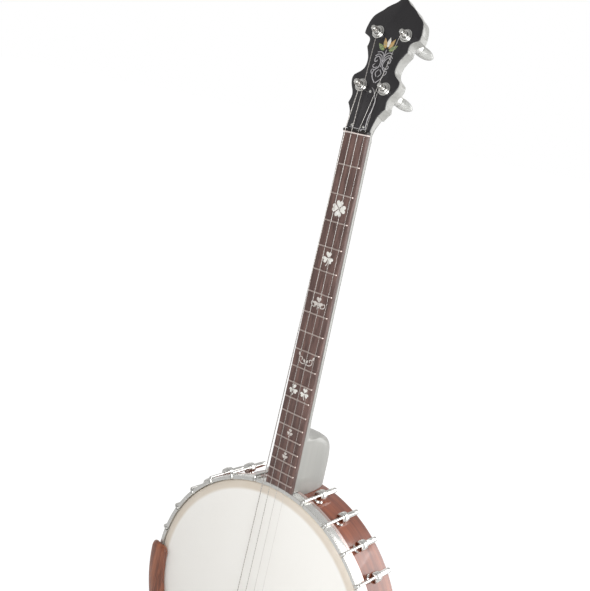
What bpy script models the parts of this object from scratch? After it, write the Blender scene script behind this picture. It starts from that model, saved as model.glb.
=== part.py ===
"""Tenor banjo with an open-back pot, built as an assembly of separate pieces.

The neck runs up along +Z and the playing side faces -Y. The origin is the middle of the
nut's front edge at the fingerboard surface, where a wall hanger's fork would carry the neck.
All values are metres. Depths are measured along +Y, behind the fingerboard surface.
"""

import math

import bmesh
import bpy
from mathutils import Matrix, Vector

MM = 0.001

MERGE_DISTANCE = 0.001 * MM

# Clearances
GAP = 0.3 * MM                   # between two pieces that touch
HOLE_FIT = 0.4 * MM              # radial, between a faceted shank and its faceted hole

# Scale and strings
SCALE_LENGTH = 580 * MM
FRET_COUNT = 19
STRING_GAUGES = (1.02 * MM, 0.76 * MM, 0.51 * MM, 0.30 * MM)
NUT_STRING_PITCH = 8.15 * MM
BRIDGE_STRING_PITCH = 11.4 * MM

# Fingerboard, frets and nut
BOARD_WIDTH_AT_NUT = 29.9 * MM
BOARD_WIDTH_AT_LAST_FRET = 36.2 * MM
BOARD_THICKNESS = 5.5 * MM
BOARD_PAST_LAST_FRET = 7.0 * MM
FRET_WIDTH = 1.8 * MM
FRET_HEIGHT = 1.1 * MM
FRET_SHOULDER = 0.35 * MM        # height of a fret's straight flanks
FRET_ROOT = 0.6 * MM             # into the board
FRET_INSET = 0.6 * MM            # from the board's edge to the fret's end
NUT_THICKNESS = 4.2 * MM
NUT_PROUD = 2.0 * MM             # nut top in front of the fingerboard surface
NUT_SLOT_DEPTH = 1.3 * MM

# Neck and heel
NECK_DEPTH_AT_NUT = 12.9 * MM    # neck alone, under the board
NECK_DEPTH_AT_HEEL = 14.4 * MM
HEEL_BACK_Y = 74.0 * MM
HEEL_FOOT_LENGTH = 66.4 * MM     # along the neck, from the pot to the heel's upper end
HEEL_CURVE_LENGTH = 23.6 * MM    # along the neck, the concave sweep from neck to heel
HEEL_TAPER = 0.04                # share of the width lost between the board and the heel's back
HEEL_ROUNDING = (                # shares of the foot's length, and of the heel's own depth there
    (0.45, 1.0), (0.6, 0.985), (0.72, 0.95), (0.825, 0.875), (0.91, 0.755), (0.97, 0.61),
    (1.0, 0.49),
)
HEEL_SWEEP = (                   # the same, past it
    (0.03, 0.3), (0.08, 0.16), (0.18, 0.085), (0.36, 0.05), (0.66, 0.022), (1.0, 0.0))
SHAFT_SQUARENESS = 2.2           # exponent of the superellipse under the board
HEEL_SQUARENESS = 4.4

# Headstock
HEADSTOCK_TILT = math.radians(14.0)
HEADSTOCK_FACE_DROP = 1.0 * MM   # face behind the fingerboard surface, at the nut
HEADSTOCK_CORE_THICKNESS = 13.8 * MM
VENEER_THICKNESS = 1.2 * MM
HEADSTOCK_BLEND_LENGTH = 22.0 * MM
CORE_INSET = 0.1 * MM            # of the solids that the headstock's plate swallows
ROOT_DEPTH = 6.0 * MM            # of the squared wood under the face plate's lower end
# Sections of the neck's end inside the headstock: share of the blend, squareness
ROOT_SECTIONS = ((0.42, 3.2), (0.8, 6.0), (1.1, 9.0))
NECK_END_STEP = 0.3 * MM         # the shaft's end under the nut is this much thinner
NECK_END_SQUARENESS = 2.5
TUNER_STATIONS = (50.8 * MM, 108.4 * MM)
TUNER_HALF_SPACINGS = (14.4 * MM, 17.0 * MM)

# Truss rod, under the fingerboard
TRUSS_ROD_RADIUS = 2.9 * MM
TRUSS_ROD_STOP = 12.0 * MM       # rod end short of the pot
TRUSS_NUT_RADIUS = 3.7 * MM
TRUSS_NUT_LENGTH = 8.0 * MM
TRUSS_NUT_START = 8.6 * MM
TRUSS_STUD_RADIUS = 2.0 * MM
TRUSS_POCKET_HALF_WIDTH = 5.0 * MM
TRUSS_POCKET_END = 36.0 * MM
COVER_HALF_WIDTH = 9.6 * MM
COVER_THICKNESS = 1.8 * MM
COVER_START = 5.6 * MM
COVER_SHOULDER = 38.0 * MM
COVER_TIP = 50.0 * MM

# Tuners, geared four to one
TUNER_BODY_RADIUS = 4.6 * MM     # the part that passes through the headstock
HOUSING_RADIUS = 6.8 * MM
HOUSING_LENGTH = 13.0 * MM
HOUSING_WALL = 1.3 * MM
WASHER_RADIUS = 6.9 * MM
WASHER_THICKNESS = 1.0 * MM
BUSHING_RADIUS = 5.9 * MM
BUSHING_HEIGHT = 2.8 * MM
POST_RADIUS = 3.0 * MM
POST_WAIST_RADIUS = 2.2 * MM
POST_HEIGHT = 12.6 * MM          # above the headstock's face
POST_WAIST_START = 6.0 * MM
POST_WAIST_END = 11.4 * MM
POST_SLOT_HALF_WIDTH = 0.6 * MM
POST_SLOT_DEPTH = 1.4 * MM
CARRIER_RADIUS = 4.9 * MM
CARRIER_THICKNESS = 2.0 * MM
PLANET_RADIUS = 1.7 * MM
PLANET_LENGTH = 4.0 * MM
PLANET_COUNT = 3
SUN_RADIUS = 1.3 * MM
BUTTON_SHAFT_RADIUS = 2.0 * MM
BUTTON_STANDOFF = 2.0 * MM       # from the housing to the button
BUTTON_LENGTH = 19.0 * MM
BUTTON_HALF_WIDTH = 12.0 * MM
BUTTON_HALF_THICKNESS = 5.8 * MM
BUTTON_REST_ANGLE = math.radians(14.0)

# Pot: rim, tone ring, head and hoops
HEAD_RADIUS = 152.4 * MM
HEAD_THICKNESS = 0.5 * MM
HEAD_FRONT_Y = 1.5 * MM
HEAD_SKIRT_HEIGHT = 14.0 * MM
HEAD_SHOULDER_WIDTH = 3.9 * MM   # of the rounding over the tone ring
HEAD_SHOULDER_DROP = 4.0 * MM
RIM_CLEARANCE = 1.4 * MM         # between the rim and the head's skirt
RIM_WALL = 12.5 * MM
RIM_LENGTH = 62.8 * MM
RIM_CHAMFER = 1.2 * MM
TONE_RING_RADIUS = 3.2 * MM      # of its round section
HOOP_THICKNESS = 4.3 * MM
HOOP_HEIGHT = 11.7 * MM
HOOP_PROUD = 0.5 * MM            # hoop front in front of the head
HOOP_CLEARANCE = 0.5 * MM        # between the hoop and the neck
FLESH_HOOP_HEIGHT = 4.5 * MM
POT_SEGMENTS = 56                # two for each bracket place

# Brackets round the pot
BRACKET_PLACES = 28              # the neck and the tailpiece take one place each
HOOK_RADIUS = 1.8 * MM
HOOK_OFFSET = 0.6 * MM           # between the hook and the hoop's outside
HOOK_THREAD_SHARE = 0.8          # of the hook's radius, where its nut grips it
HOOK_NOTCH_DEPTH = 2.9 * MM
HOOK_NOTCH_MARGIN = 0.5 * MM
SHOE_FROM_RIM_FRONT = 25.5 * MM
SHOE_RADIUS = 6.2 * MM
SHOE_HALF_LENGTH = 5.6 * MM
SHOE_FOOT_RADIUS = 4.6 * MM
BRACKET_NUT_RADIUS = 3.4 * MM
BRACKET_NUT_LENGTH = 22.0 * MM
SHOE_WEB = 1.0 * MM              # between the shoe's foot and the hook's bore
SHOE_BOLT_RADIUS = 2.0 * MM
SHOE_BOLT_HEAD_RADIUS = 4.4 * MM
SHOE_BOLT_HEAD_HEIGHT = 2.4 * MM
SHOE_BOLT_GRIP = 4.0 * MM        # length inside the shoe's foot

# Coordinator rod, which holds the neck to the pot
ROD_Y = 48.0 * MM
ROD_RADIUS = 4.8 * MM
LAG_RADIUS = 3.0 * MM
LAG_IN_HEEL = 30.0 * MM
JAM_NUT_RADIUS = 7.5 * MM
JAM_NUT_THICKNESS = 5.0 * MM
END_BOLT_HEAD_RADIUS = 6.0 * MM
END_BOLT_HEAD_HEIGHT = 3.2 * MM

# Tailpiece
TAILPIECE_HALF_WIDTH = 21.5 * MM
TAILPIECE_LENGTH = 56.0 * MM
TAILPIECE_THICKNESS = 2.0 * MM
TAILPIECE_HEAD_GAP = 2.6 * MM    # between the head and the tailpiece's base
COVER_PLATE_THICKNESS = 1.5 * MM
COVER_PLATE_LIFT = 6.0 * MM      # base front to cover back
HINGE_PIN_RADIUS = 1.4 * MM
HINGE_BARREL_RADIUS = 3.2 * MM
PEG_RADIUS = 1.5 * MM
PEG_HEIGHT = 4.6 * MM
PEG_FROM_HINGE = 22.0 * MM
HANGER_RADIUS = 2.3 * MM
HANGER_NUT_RADIUS = 4.6 * MM
HANGER_NUT_THICKNESS = 4.0 * MM
HANGER_CLEARANCE = 3.2 * MM      # hanger bolt outside the hoop
HANGER_HEAD_RADIUS = 4.4 * MM
HANGER_HEAD_HEIGHT = 2.6 * MM
HANGER_BOLT_PAST_NUT = 1.5 * MM
TAILPIECE_CORNER = 4.0 * MM      # cut off its upper corners
TAILPIECE_EAR_WALL = 3.0 * MM    # metal beside the hanger bolt
HINGE_LUG_HALF_LENGTH = 4.0 * MM
HINGE_LUG_INSET = 1.0 * MM       # from the base's side
HINGE_SIDE_PLAY = 0.5 * MM
TAILPIECE_FLARE_START = 6.0 * MM  # below the hinge, where the ear widens
TAILPIECE_FLARE_END = 8.0 * MM   # above the hinge, at full width
COVER_FLARE_START = 7.0 * MM
COVER_FLARE_END = 10.0 * MM
COVER_LIP_CORNER = 5.0 * MM
COVER_LIP_SLOPE = 7.0 * MM
COVER_END_PLAY = 1.0 * MM        # cover short of the base's upper end
STRING_TWIST_LENGTH = 12.0 * MM  # from the peg to the end of the loop's twist
STRING_TAIL_LENGTH = 5.0 * MM
SHELF_PAST_BOLT = 3.5 * MM
PLATE_PAST_BOLT = 2.0 * MM       # bracket plate behind the end bolt's head
BRACKET_PLATE_THICKNESS = 2.4 * MM
BRACKET_PLATE_HALF_WIDTH = 9.0 * MM
SHELF_FROM_ROD = 14.0 * MM

# Bridge
BRIDGE_LINE_Y = -12.1 * MM       # string centres at the bridge
BRIDGE_HALF_LENGTH = 33.0 * MM
BRIDGE_FOOT_HALF_THICKNESS = 3.6 * MM
BRIDGE_TOP_HALF_THICKNESS = 1.4 * MM
BRIDGE_CROWN_HALF_LENGTH = 25.0 * MM
BRIDGE_SLOT_DEPTH = 0.9 * MM     # below the crown, at the thickest string
BRIDGE_MIDDLE_FOOT_HALF = 3.5 * MM
BRIDGE_END_FOOT = 8.0 * MM

# Armrest, on the hoop at the player's forearm
ARMREST_FIRST_BRACKET = 7.5      # in bracket places from the neck
ARMREST_SECOND_BRACKET = 10.5
ARMREST_END_ANGLE = math.radians(8.4)
ARMREST_INSIDE_HOOP = 13.5 * MM
ARMREST_OUTSIDE_HOOP = 10.0 * MM
ARMREST_THICKNESS = 6.0 * MM
CLAMP_THICKNESS = 1.5 * MM
CLAMP_HALF_WIDTH = 7.0 * MM
CLAMP_FROM_HOOP = 9.0 * MM       # how far the clamp's tab reaches inside the hoop
CLAMP_TOE = 1.0 * MM             # end of the clamp's hook, outside the rim
ARMREST_LIP = 0.9 * MM           # outer edge behind the underside
ARMREST_FLAT_PAST_HOOP = 3.5 * MM

# Worked out from the driving dimensions
NECK_TOP_Y = BOARD_THICKNESS + GAP
HEADSTOCK_THICKNESS = HEADSTOCK_CORE_THICKNESS + VENEER_THICKNESS + GAP
HOOP_INNER_RADIUS = HEAD_RADIUS + GAP
HOOP_OUTER_RADIUS = HOOP_INNER_RADIUS + HOOP_THICKNESS
HOOP_FRONT_Y = HEAD_FRONT_Y - HOOP_PROUD
HOOP_BACK_Y = HOOP_FRONT_Y + HOOP_HEIGHT
FLESH_FRONT_Y = HOOP_BACK_Y + GAP
FLESH_BACK_Y = FLESH_FRONT_Y + FLESH_HOOP_HEIGHT
RIM_OUTER_RADIUS = HEAD_RADIUS - HEAD_THICKNESS - RIM_CLEARANCE
RIM_INNER_RADIUS = RIM_OUTER_RADIUS - RIM_WALL
TONE_RING_Y = HEAD_FRONT_Y + HEAD_THICKNESS + GAP + TONE_RING_RADIUS
RIM_FRONT_Y = TONE_RING_Y + TONE_RING_RADIUS + GAP
RIM_BACK_Y = RIM_FRONT_Y + RIM_LENGTH
HOOK_CIRCLE_RADIUS = HOOP_OUTER_RADIUS + HOOK_OFFSET + HOOK_RADIUS
SHOE_Y = RIM_FRONT_Y + SHOE_FROM_RIM_FRONT
BRACKET_STEP = 2.0 * math.pi / BRACKET_PLACES


def fret_distance(number):
    """Distance from the nut to a fret, on the equal-tempered scale."""
    return SCALE_LENGTH * (1.0 - 2.0 ** (-number / 12.0))


LAST_FRET_Z = -fret_distance(FRET_COUNT)
POT_Z = LAST_FRET_Z - BOARD_PAST_LAST_FRET - HOOP_CLEARANCE - HOOP_OUTER_RADIUS
BOARD_SLOPE = (BOARD_WIDTH_AT_LAST_FRET - BOARD_WIDTH_AT_NUT) / 2.0 / -LAST_FRET_Z
HEEL_FRONT_Z = POT_Z + RIM_OUTER_RADIUS
HANGER_Z = POT_Z - HOOP_OUTER_RADIUS - HANGER_CLEARANCE - HANGER_RADIUS
TAILPIECE_BACK_Y = HEAD_FRONT_Y - TAILPIECE_HEAD_GAP
TAILPIECE_FRONT_Y = TAILPIECE_BACK_Y - TAILPIECE_THICKNESS
HINGE_Z = POT_Z - HOOP_OUTER_RADIUS + 3.0 * HINGE_BARREL_RADIUS
HINGE_Y = TAILPIECE_FRONT_Y - GAP - HINGE_BARREL_RADIUS
STRING_Y_AT_TAILPIECE = TAILPIECE_FRONT_Y - 0.5 * PEG_HEIGHT
PEG_Z = HINGE_Z + PEG_FROM_HINGE


def start_collections():
    """Empty the scene and make one collection for the banjo and one for its cutters."""
    for item in list(bpy.data.objects):
        bpy.data.objects.remove(item, do_unlink=True)
    collections = []
    for title in ("tenor_banjo", "cutters"):
        collection = bpy.data.collections.new(title)
        bpy.context.scene.collection.children.link(collection)
        collections.append(collection)
    return collections


MODEL, CUTTERS = start_collections()


def finish(name, colour, roughness, metallic=0.0):
    """A Principled material in one linear colour."""
    made = bpy.data.materials.new(name)
    made.use_nodes = True
    shader = made.node_tree.nodes["Principled BSDF"]
    shader.inputs["Base Color"].default_value = (*colour, 1.0)
    shader.inputs["Roughness"].default_value = roughness
    shader.inputs["Metallic"].default_value = metallic
    made.diffuse_color = (*colour, 1.0)
    return made


GREY_LACQUER = finish("grey_lacquered_maple", (0.47, 0.47, 0.45), 0.25)
BLACK_LACQUER = finish("black_lacquer", (0.02, 0.02, 0.022), 0.15)
ROSEWOOD = finish("rosewood", (0.12, 0.07, 0.06), 0.45)
BONE = finish("bone", (0.80, 0.76, 0.66), 0.4)
CHROME = finish("chrome", (0.80, 0.80, 0.80), 0.08, 1.0)
STEEL = finish("steel", (0.55, 0.55, 0.56), 0.3, 1.0)
BRASS = finish("brass", (0.72, 0.52, 0.22), 0.25, 1.0)
ALUMINIUM = finish("aluminium", (0.78, 0.72, 0.71), 0.35, 1.0)
MAHOGANY = finish("mahogany", (0.26, 0.09, 0.05), 0.3)
HEAD_FILM = finish("coated_head_film", (0.85, 0.84, 0.81), 0.6)
MAPLE = finish("maple", (0.66, 0.47, 0.28), 0.4)
PEARLOID = finish("pearloid", (0.78, 0.79, 0.77), 0.25)
WALNUT = finish("walnut", (0.22, 0.10, 0.06), 0.35)


def empty_frame(name, location=(0.0, 0.0, 0.0), rotation=(0.0, 0.0, 0.0), parent=None):
    """An empty that places the pieces parented to it."""
    frame = bpy.data.objects.new(name, None)
    frame.location = location
    frame.rotation_euler = rotation
    frame.parent = parent
    MODEL.objects.link(frame)
    return frame


# The pot's frame has its Z axis towards the player's side and its Y axis up the neck
POT = empty_frame("pot_frame", (0.0, 0.0, POT_Z), (math.radians(90.0), 0.0, 0.0))
# The headstock's frame lies in its face: Y runs up the face, Z stands out of it
HEADSTOCK = empty_frame("headstock_frame", (0.0, HEADSTOCK_FACE_DROP, 0.0),
                        (math.radians(90.0) - HEADSTOCK_TILT, 0.0, 0.0))


def close_mesh(name, bm):
    """Turn a bmesh into a mesh whose faces point outwards."""
    bmesh.ops.recalc_face_normals(bm, faces=bm.faces)
    mesh = bpy.data.meshes.new(name)
    bm.to_mesh(mesh)
    bm.free()
    return mesh


def piece(name, mesh, look, parent=None, sharp_degrees=35.0):
    """Put a mesh into the banjo's collection as a named object."""
    mesh.name = name
    mesh.materials.clear()
    mesh.materials.append(look)
    mesh.shade_smooth()
    mesh.set_sharp_from_angle(angle=math.radians(sharp_degrees))
    made = bpy.data.objects.new(name, mesh)
    made.parent = parent
    MODEL.objects.link(made)
    return made


def cut(target, cutter_mesh, parent=None, operation="DIFFERENCE"):
    """Cut a piece with a hidden mesh, or join the mesh to it."""
    cutter = bpy.data.objects.new(target.name + "_cutter", cutter_mesh)
    cutter.parent = parent
    cutter.hide_render = True
    cutter.display_type = "WIRE"
    CUTTERS.objects.link(cutter)
    boolean = target.modifiers.new(operation.lower(), "BOOLEAN")
    boolean.operation = operation
    boolean.object = cutter


def evaluated_mesh(made):
    """The object's mesh in world space, modifiers applied and doubles merged; the object goes."""
    bpy.context.view_layer.update()
    graph = bpy.context.evaluated_depsgraph_get()
    mesh = bpy.data.meshes.new_from_object(made.evaluated_get(graph))
    mesh.transform(made.matrix_world)
    bpy.data.objects.remove(made, do_unlink=True)
    bm = bmesh.new()
    bm.from_mesh(mesh)
    bmesh.ops.remove_doubles(bm, verts=bm.verts, dist=MERGE_DISTANCE)
    bpy.data.meshes.remove(mesh)
    return close_mesh("evaluated", bm)


def turned(profile, sides, closed=True):
    """A mesh turned about Z from (radius, height) points, by a Screw modifier."""
    mesh = bpy.data.meshes.new("profile")
    count = len(profile)
    edges = [(i, i + 1) for i in range(count - 1)]
    if closed:
        edges.append((count - 1, 0))
    mesh.from_pydata([(radius, 0.0, height) for radius, height in profile], edges, [])
    made = bpy.data.objects.new("turning", mesh)
    CUTTERS.objects.link(made)
    screw = made.modifiers.new("screw", "SCREW")
    screw.steps = sides
    screw.render_steps = sides
    screw.use_merge_vertices = True
    screw.merge_threshold = MERGE_DISTANCE
    return evaluated_mesh(made)


def cylinder(radius, low, high, sides):
    """A closed cylinder about Z between two heights."""
    bm = bmesh.new()
    bmesh.ops.create_cone(bm, cap_ends=True, segments=sides, radius1=radius, radius2=radius,
                          depth=high - low,
                          matrix=Matrix.Translation((0.0, 0.0, (low + high) / 2.0)))
    return close_mesh("cylinder", bm)


def box(low, high):
    """A closed box between two corners."""
    size = [b - a for a, b in zip(low, high)]
    middle = [(a + b) / 2.0 for a, b in zip(low, high)]
    bm = bmesh.new()
    bmesh.ops.create_cube(bm, size=1.0,
                          matrix=Matrix.Translation(middle) @ Matrix.Diagonal((*size, 1.0)))
    return close_mesh("box", bm)


def plate(outlines, low, high):
    """Flat plates between two heights, from outlines in the XY plane, by a filled curve."""
    curve = bpy.data.curves.new("outline", "CURVE")
    curve.dimensions = "2D"
    curve.fill_mode = "BOTH"
    curve.extrude = (high - low) / 2.0
    for outline in outlines:
        spline = curve.splines.new("POLY")
        spline.points.add(len(outline) - 1)
        for point, (x, y) in zip(spline.points, outline):
            point.co = (x, y, 0.0, 1.0)
        spline.use_cyclic_u = True
    made = bpy.data.objects.new("plate", curve)
    made.location.z = (low + high) / 2.0
    CUTTERS.objects.link(made)
    return evaluated_mesh(made)


def tube(points, radius, resolution=1):
    """A wire through a list of points, as a bevelled curve with filled caps."""
    curve = bpy.data.curves.new("wire", "CURVE")
    curve.dimensions = "3D"
    curve.bevel_depth = radius
    curve.bevel_resolution = resolution
    curve.use_fill_caps = True
    curve.twist_mode = "MINIMUM"
    spline = curve.splines.new("POLY")
    spline.points.add(len(points) - 1)
    for point, place in zip(spline.points, points):
        point.co = (*place, 1.0)
    made = bpy.data.objects.new("wire", curve)
    CUTTERS.objects.link(made)
    return evaluated_mesh(made)


def placed(mesh, matrix):
    """A copy of a mesh under a matrix."""
    copy = mesh.copy()
    copy.transform(matrix)
    return copy


def grouped(meshes):
    """Several separate solids in one mesh."""
    bm = bmesh.new()
    for mesh in meshes:
        bm.from_mesh(mesh)
        bpy.data.meshes.remove(mesh)
    return close_mesh("group", bm)


def joined(meshes):
    """One solid from several that overlap."""
    made = bpy.data.objects.new("joining", meshes[0])
    CUTTERS.objects.link(made)
    for mesh in meshes[1:]:
        cut(made, mesh, operation="UNION")
    cutters = [modifier.object for modifier in made.modifiers]
    mesh = evaluated_mesh(made)
    for cutter in cutters:
        bpy.data.objects.remove(cutter, do_unlink=True)
    return mesh


def board_half_width(z):
    """Half the fingerboard's width at a place along the neck."""
    return BOARD_WIDTH_AT_NUT / 2.0 - BOARD_SLOPE * min(z, 0.0)


def string_x(index, z):
    """Sideways place of a string between the nut and the bridge."""
    share = -z / SCALE_LENGTH
    pitch = NUT_STRING_PITCH + share * (BRIDGE_STRING_PITCH - NUT_STRING_PITCH)
    return (index - (len(STRING_GAUGES) - 1) / 2.0) * pitch


# Neck

HEADSTOCK_HALF_OUTLINE = (
    (15.1, 10.0), (16.0, 16.0), (16.9, 21.0), (19.2, 25.7), (22.9, 31.0), (21.7, 36.5),
    (21.8, 40.3), (23.5, 44.5), (26.1, 48.7), (28.2, 53.5), (28.8, 58.0), (27.9, 61.0),
    (24.8, 63.3), (21.3, 66.0), (18.9, 69.0), (17.9, 73.5), (18.7, 80.0), (21.3, 86.0),
    (24.7, 92.0), (24.1, 96.5), (24.7, 100.2), (26.7, 102.6), (29.8, 104.2), (33.3, 105.8),
    (33.6, 109.5), (33.0, 115.5), (31.8, 120.6), (29.2, 125.8), (25.3, 129.3), (21.2, 132.4),
    (17.4, 136.2), (12.6, 139.4), (7.8, 142.3), (4.7, 145.3), (1.5, 148.0),
)


def headstock_half_width(station):
    """Half the headstock's width at a place up its face, in metres."""
    low_width, low_station = BOARD_WIDTH_AT_NUT / 2.0, 0.0
    for half_width, height in HEADSTOCK_HALF_OUTLINE:
        if station <= height * MM:
            share = (station - low_station) / (height * MM - low_station)
            return low_width + share * (half_width * MM - low_width)
        low_width, low_station = half_width * MM, height * MM
    return low_width


def mirrored(half):
    """A closed outline from its right half, listed upwards."""
    return half + [(-x, y) for x, y in reversed(half)]


def headstock_outline(start):
    """The lobed outline from a place up the face, in the headstock's frame."""
    half = [(headstock_half_width(start), start)]
    for half_width, station in HEADSTOCK_HALF_OUTLINE:
        if station * MM > start + 1.0 * MM:
            half.append((half_width * MM, station * MM))
    return mirrored(half)


def neck_section(half_width, depth, squareness, taper, steps=6):
    """A section below a flat top: (x, depth) points of a superellipse from side to side."""
    points = []
    for index in range(2 * steps + 1):
        angle = math.pi * index / (2 * steps)
        down = math.sin(angle) ** (2.0 / squareness)
        across = math.copysign(abs(math.cos(angle)) ** (2.0 / squareness), math.cos(angle))
        points.append((half_width * across * (1.0 - taper * down), depth * down))
    return points


def neck_stations():
    """Sections from the heel to the nut: place along the neck, depth, squareness and taper."""
    back_z = HEEL_FRONT_Z
    foot_z = back_z + HEEL_FOOT_LENGTH
    clear_z = foot_z + HEEL_CURVE_LENGTH
    neck_depth = NECK_DEPTH_AT_HEEL
    heel_depth = HEEL_BACK_Y - NECK_TOP_Y - neck_depth
    places = [(back_z - 12.0 * MM, 1.0)]
    places += [(back_z + share * HEEL_FOOT_LENGTH, swell) for share, swell in HEEL_ROUNDING]
    places += [(foot_z + share * HEEL_CURVE_LENGTH, swell) for share, swell in HEEL_SWEEP]
    stations = []
    for z, swell in places:
        squareness = SHAFT_SQUARENESS + (HEEL_SQUARENESS - SHAFT_SQUARENESS) * swell
        stations.append((z, neck_depth + heel_depth * swell, squareness, HEEL_TAPER * swell))
    for share in (0.5, 1.0):
        z = clear_z * (1.0 - share)
        stations.append((z, neck_depth + share * (NECK_DEPTH_AT_NUT - neck_depth),
                         SHAFT_SQUARENESS, 0.0))
    stations.append((NUT_THICKNESS + GAP, NECK_DEPTH_AT_NUT - NECK_END_STEP,
                     NECK_END_SQUARENESS, 0.0))
    return stations


def neck_mesh():
    """Shaft and heel as one loft, ending square inside the headstock."""
    rings = []
    for z, depth, squareness, taper in neck_stations():
        section = neck_section(board_half_width(z), depth, squareness, taper)
        rings.append([Vector((x, NECK_TOP_Y + down, z)) for x, down in section])
    along = Vector((0.0, math.sin(HEADSTOCK_TILT), math.cos(HEADSTOCK_TILT)))
    inward = Vector((0.0, math.cos(HEADSTOCK_TILT), -math.sin(HEADSTOCK_TILT)))
    face = Vector((0.0, HEADSTOCK_FACE_DROP, 0.0))
    skin = VENEER_THICKNESS + GAP
    reach = HEADSTOCK_CORE_THICKNESS - CORE_INSET
    for share, squareness in ROOT_SECTIONS:
        station = share * HEADSTOCK_BLEND_LENGTH
        half_width = headstock_half_width(min(station, HEADSTOCK_BLEND_LENGTH)) - CORE_INSET
        section = neck_section(half_width, reach, squareness, 0.0)
        top = face + along * station + inward * (skin + 0.5 * CORE_INSET)
        rings.append([top + Vector((x, 0.0, 0.0)) + inward * down for x, down in section])
    bm = bmesh.new()
    verts = [[bm.verts.new(point) for point in ring] for ring in rings]
    count = len(verts[0])
    for low, high in zip(verts, verts[1:]):
        for index in range(count):
            after = (index + 1) % count
            bm.faces.new((low[index], low[after], high[after], high[index]))
    bm.faces.new(verts[0])
    bm.faces.new(verts[-1])
    return close_mesh("neck", bm)


def pot_space():
    """What the pot takes from the neck: the hoops in front, the rim behind them."""
    front = HEEL_BACK_Y
    step = -(FLESH_BACK_Y + GAP)
    back = -2.0 * HEEL_BACK_Y
    outer = HOOP_OUTER_RADIUS + HOOP_CLEARANCE
    inner = RIM_OUTER_RADIUS + GAP
    return turned([(0.0, front), (outer, front), (outer, step), (inner, step), (inner, back),
                   (0.0, back)], POT_SEGMENTS, closed=False)


def tuner_places():
    """The four tuners' places in the headstock's frame, lower pair first."""
    return [(side * half, station)
            for half, station in zip(TUNER_HALF_SPACINGS, TUNER_STATIONS) for side in (-1.0, 1.0)]


def tuner_holes(radius, low, high, sides=10):
    """Holes for the four tuners, in the headstock's frame."""
    return grouped([placed(cylinder(radius, low, high, sides), Matrix.Translation((x, y, 0.0)))
                    for x, y in tuner_places()])


TRUSS_AXIS_Y = NECK_TOP_Y + GAP + TRUSS_ROD_RADIUS
TRUSS_ROD_LOW_Z = HEEL_FRONT_Z + TRUSS_ROD_STOP


def truss_space():
    """The rod's channel, open under the board, and the wider pocket for its nut."""
    half = TRUSS_ROD_RADIUS + HOLE_FIT
    floor = TRUSS_AXIS_Y + half
    pocket = TRUSS_POCKET_HALF_WIDTH
    pocket_floor = TRUSS_AXIS_Y + pocket
    low_z = TRUSS_ROD_LOW_Z - GAP
    nut_low_z = TRUSS_NUT_START - 2.0 * MM
    channel = box((-half, NECK_TOP_Y - 5.0 * MM, low_z), (half, floor, nut_low_z + 1.0 * MM))
    pocket_box = box((-pocket, HEADSTOCK_FACE_DROP - 1.0 * MM, nut_low_z),
                     (pocket, pocket_floor, TRUSS_POCKET_END))
    return channel, pocket_box


def lag_space():
    """Blind hole in the heel for the coordinator rod's lag screw."""
    radius = LAG_RADIUS + HOLE_FIT
    low = HEEL_FRONT_Z - 5.0 * MM
    high = RIM_OUTER_RADIUS + POT_Z + LAG_IN_HEEL + GAP
    return placed(cylinder(radius, low, high, 8), Matrix.Translation((0.0, ROD_Y, 0.0)))


def headstock_root(high):
    """The squared wood that carries the face plate between the nut and the headstock."""
    setback = (NECK_TOP_Y - HEADSTOCK_FACE_DROP) * math.sin(HEADSTOCK_TILT)
    start = (NUT_THICKNESS + GAP + setback) / math.cos(HEADSTOCK_TILT)
    middle = 0.5 * (start + HEADSTOCK_BLEND_LENGTH)
    half = [(headstock_half_width(station) - CORE_INSET, station)
            for station in (start, middle, HEADSTOCK_BLEND_LENGTH)]
    half.append((half[-1][0], HEADSTOCK_BLEND_LENGTH + 1.0 * MM))
    return plate([mirrored(half)], -ROOT_DEPTH, high - 0.5 * CORE_INSET)


def make_neck():
    """Neck with its heel and headstock core, cut for the pot, the rods and the tuners."""
    neck = piece("neck", neck_mesh(), GREY_LACQUER)
    low = -HEADSTOCK_THICKNESS
    high = -(VENEER_THICKNESS + GAP)
    cut(neck, headstock_root(high), HEADSTOCK, "UNION")
    cut(neck, plate([headstock_outline(HEADSTOCK_BLEND_LENGTH)], low, high), HEADSTOCK, "UNION")
    cut(neck, pot_space(), POT)
    cut(neck, lag_space())
    channel, pocket = truss_space()
    cut(neck, channel)
    cut(neck, pocket)
    cut(neck, tuner_holes(TUNER_BODY_RADIUS + HOLE_FIT, low - 5.0 * MM, 5.0 * MM), HEADSTOCK)


# Headstock face

def make_headstock_veneer():
    """Black face plate, with the tuner holes and the truss rod opening."""
    setback = VENEER_THICKNESS * math.sin(HEADSTOCK_TILT)
    start = (NUT_THICKNESS + GAP + setback) / math.cos(HEADSTOCK_TILT)
    veneer = piece("headstock_veneer",
                   plate([headstock_outline(start)], -VENEER_THICKNESS, 0.0),
                   BLACK_LACQUER, HEADSTOCK)
    cut(veneer, tuner_holes(TUNER_BODY_RADIUS + HOLE_FIT, -10.0 * MM, 5.0 * MM), HEADSTOCK)
    pocket = TRUSS_POCKET_HALF_WIDTH
    top = TRUSS_POCKET_END - 3.0 * MM
    cut(veneer, box((-pocket, -5.0 * MM, -10.0 * MM), (pocket, top, 5.0 * MM)), HEADSTOCK)


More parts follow.
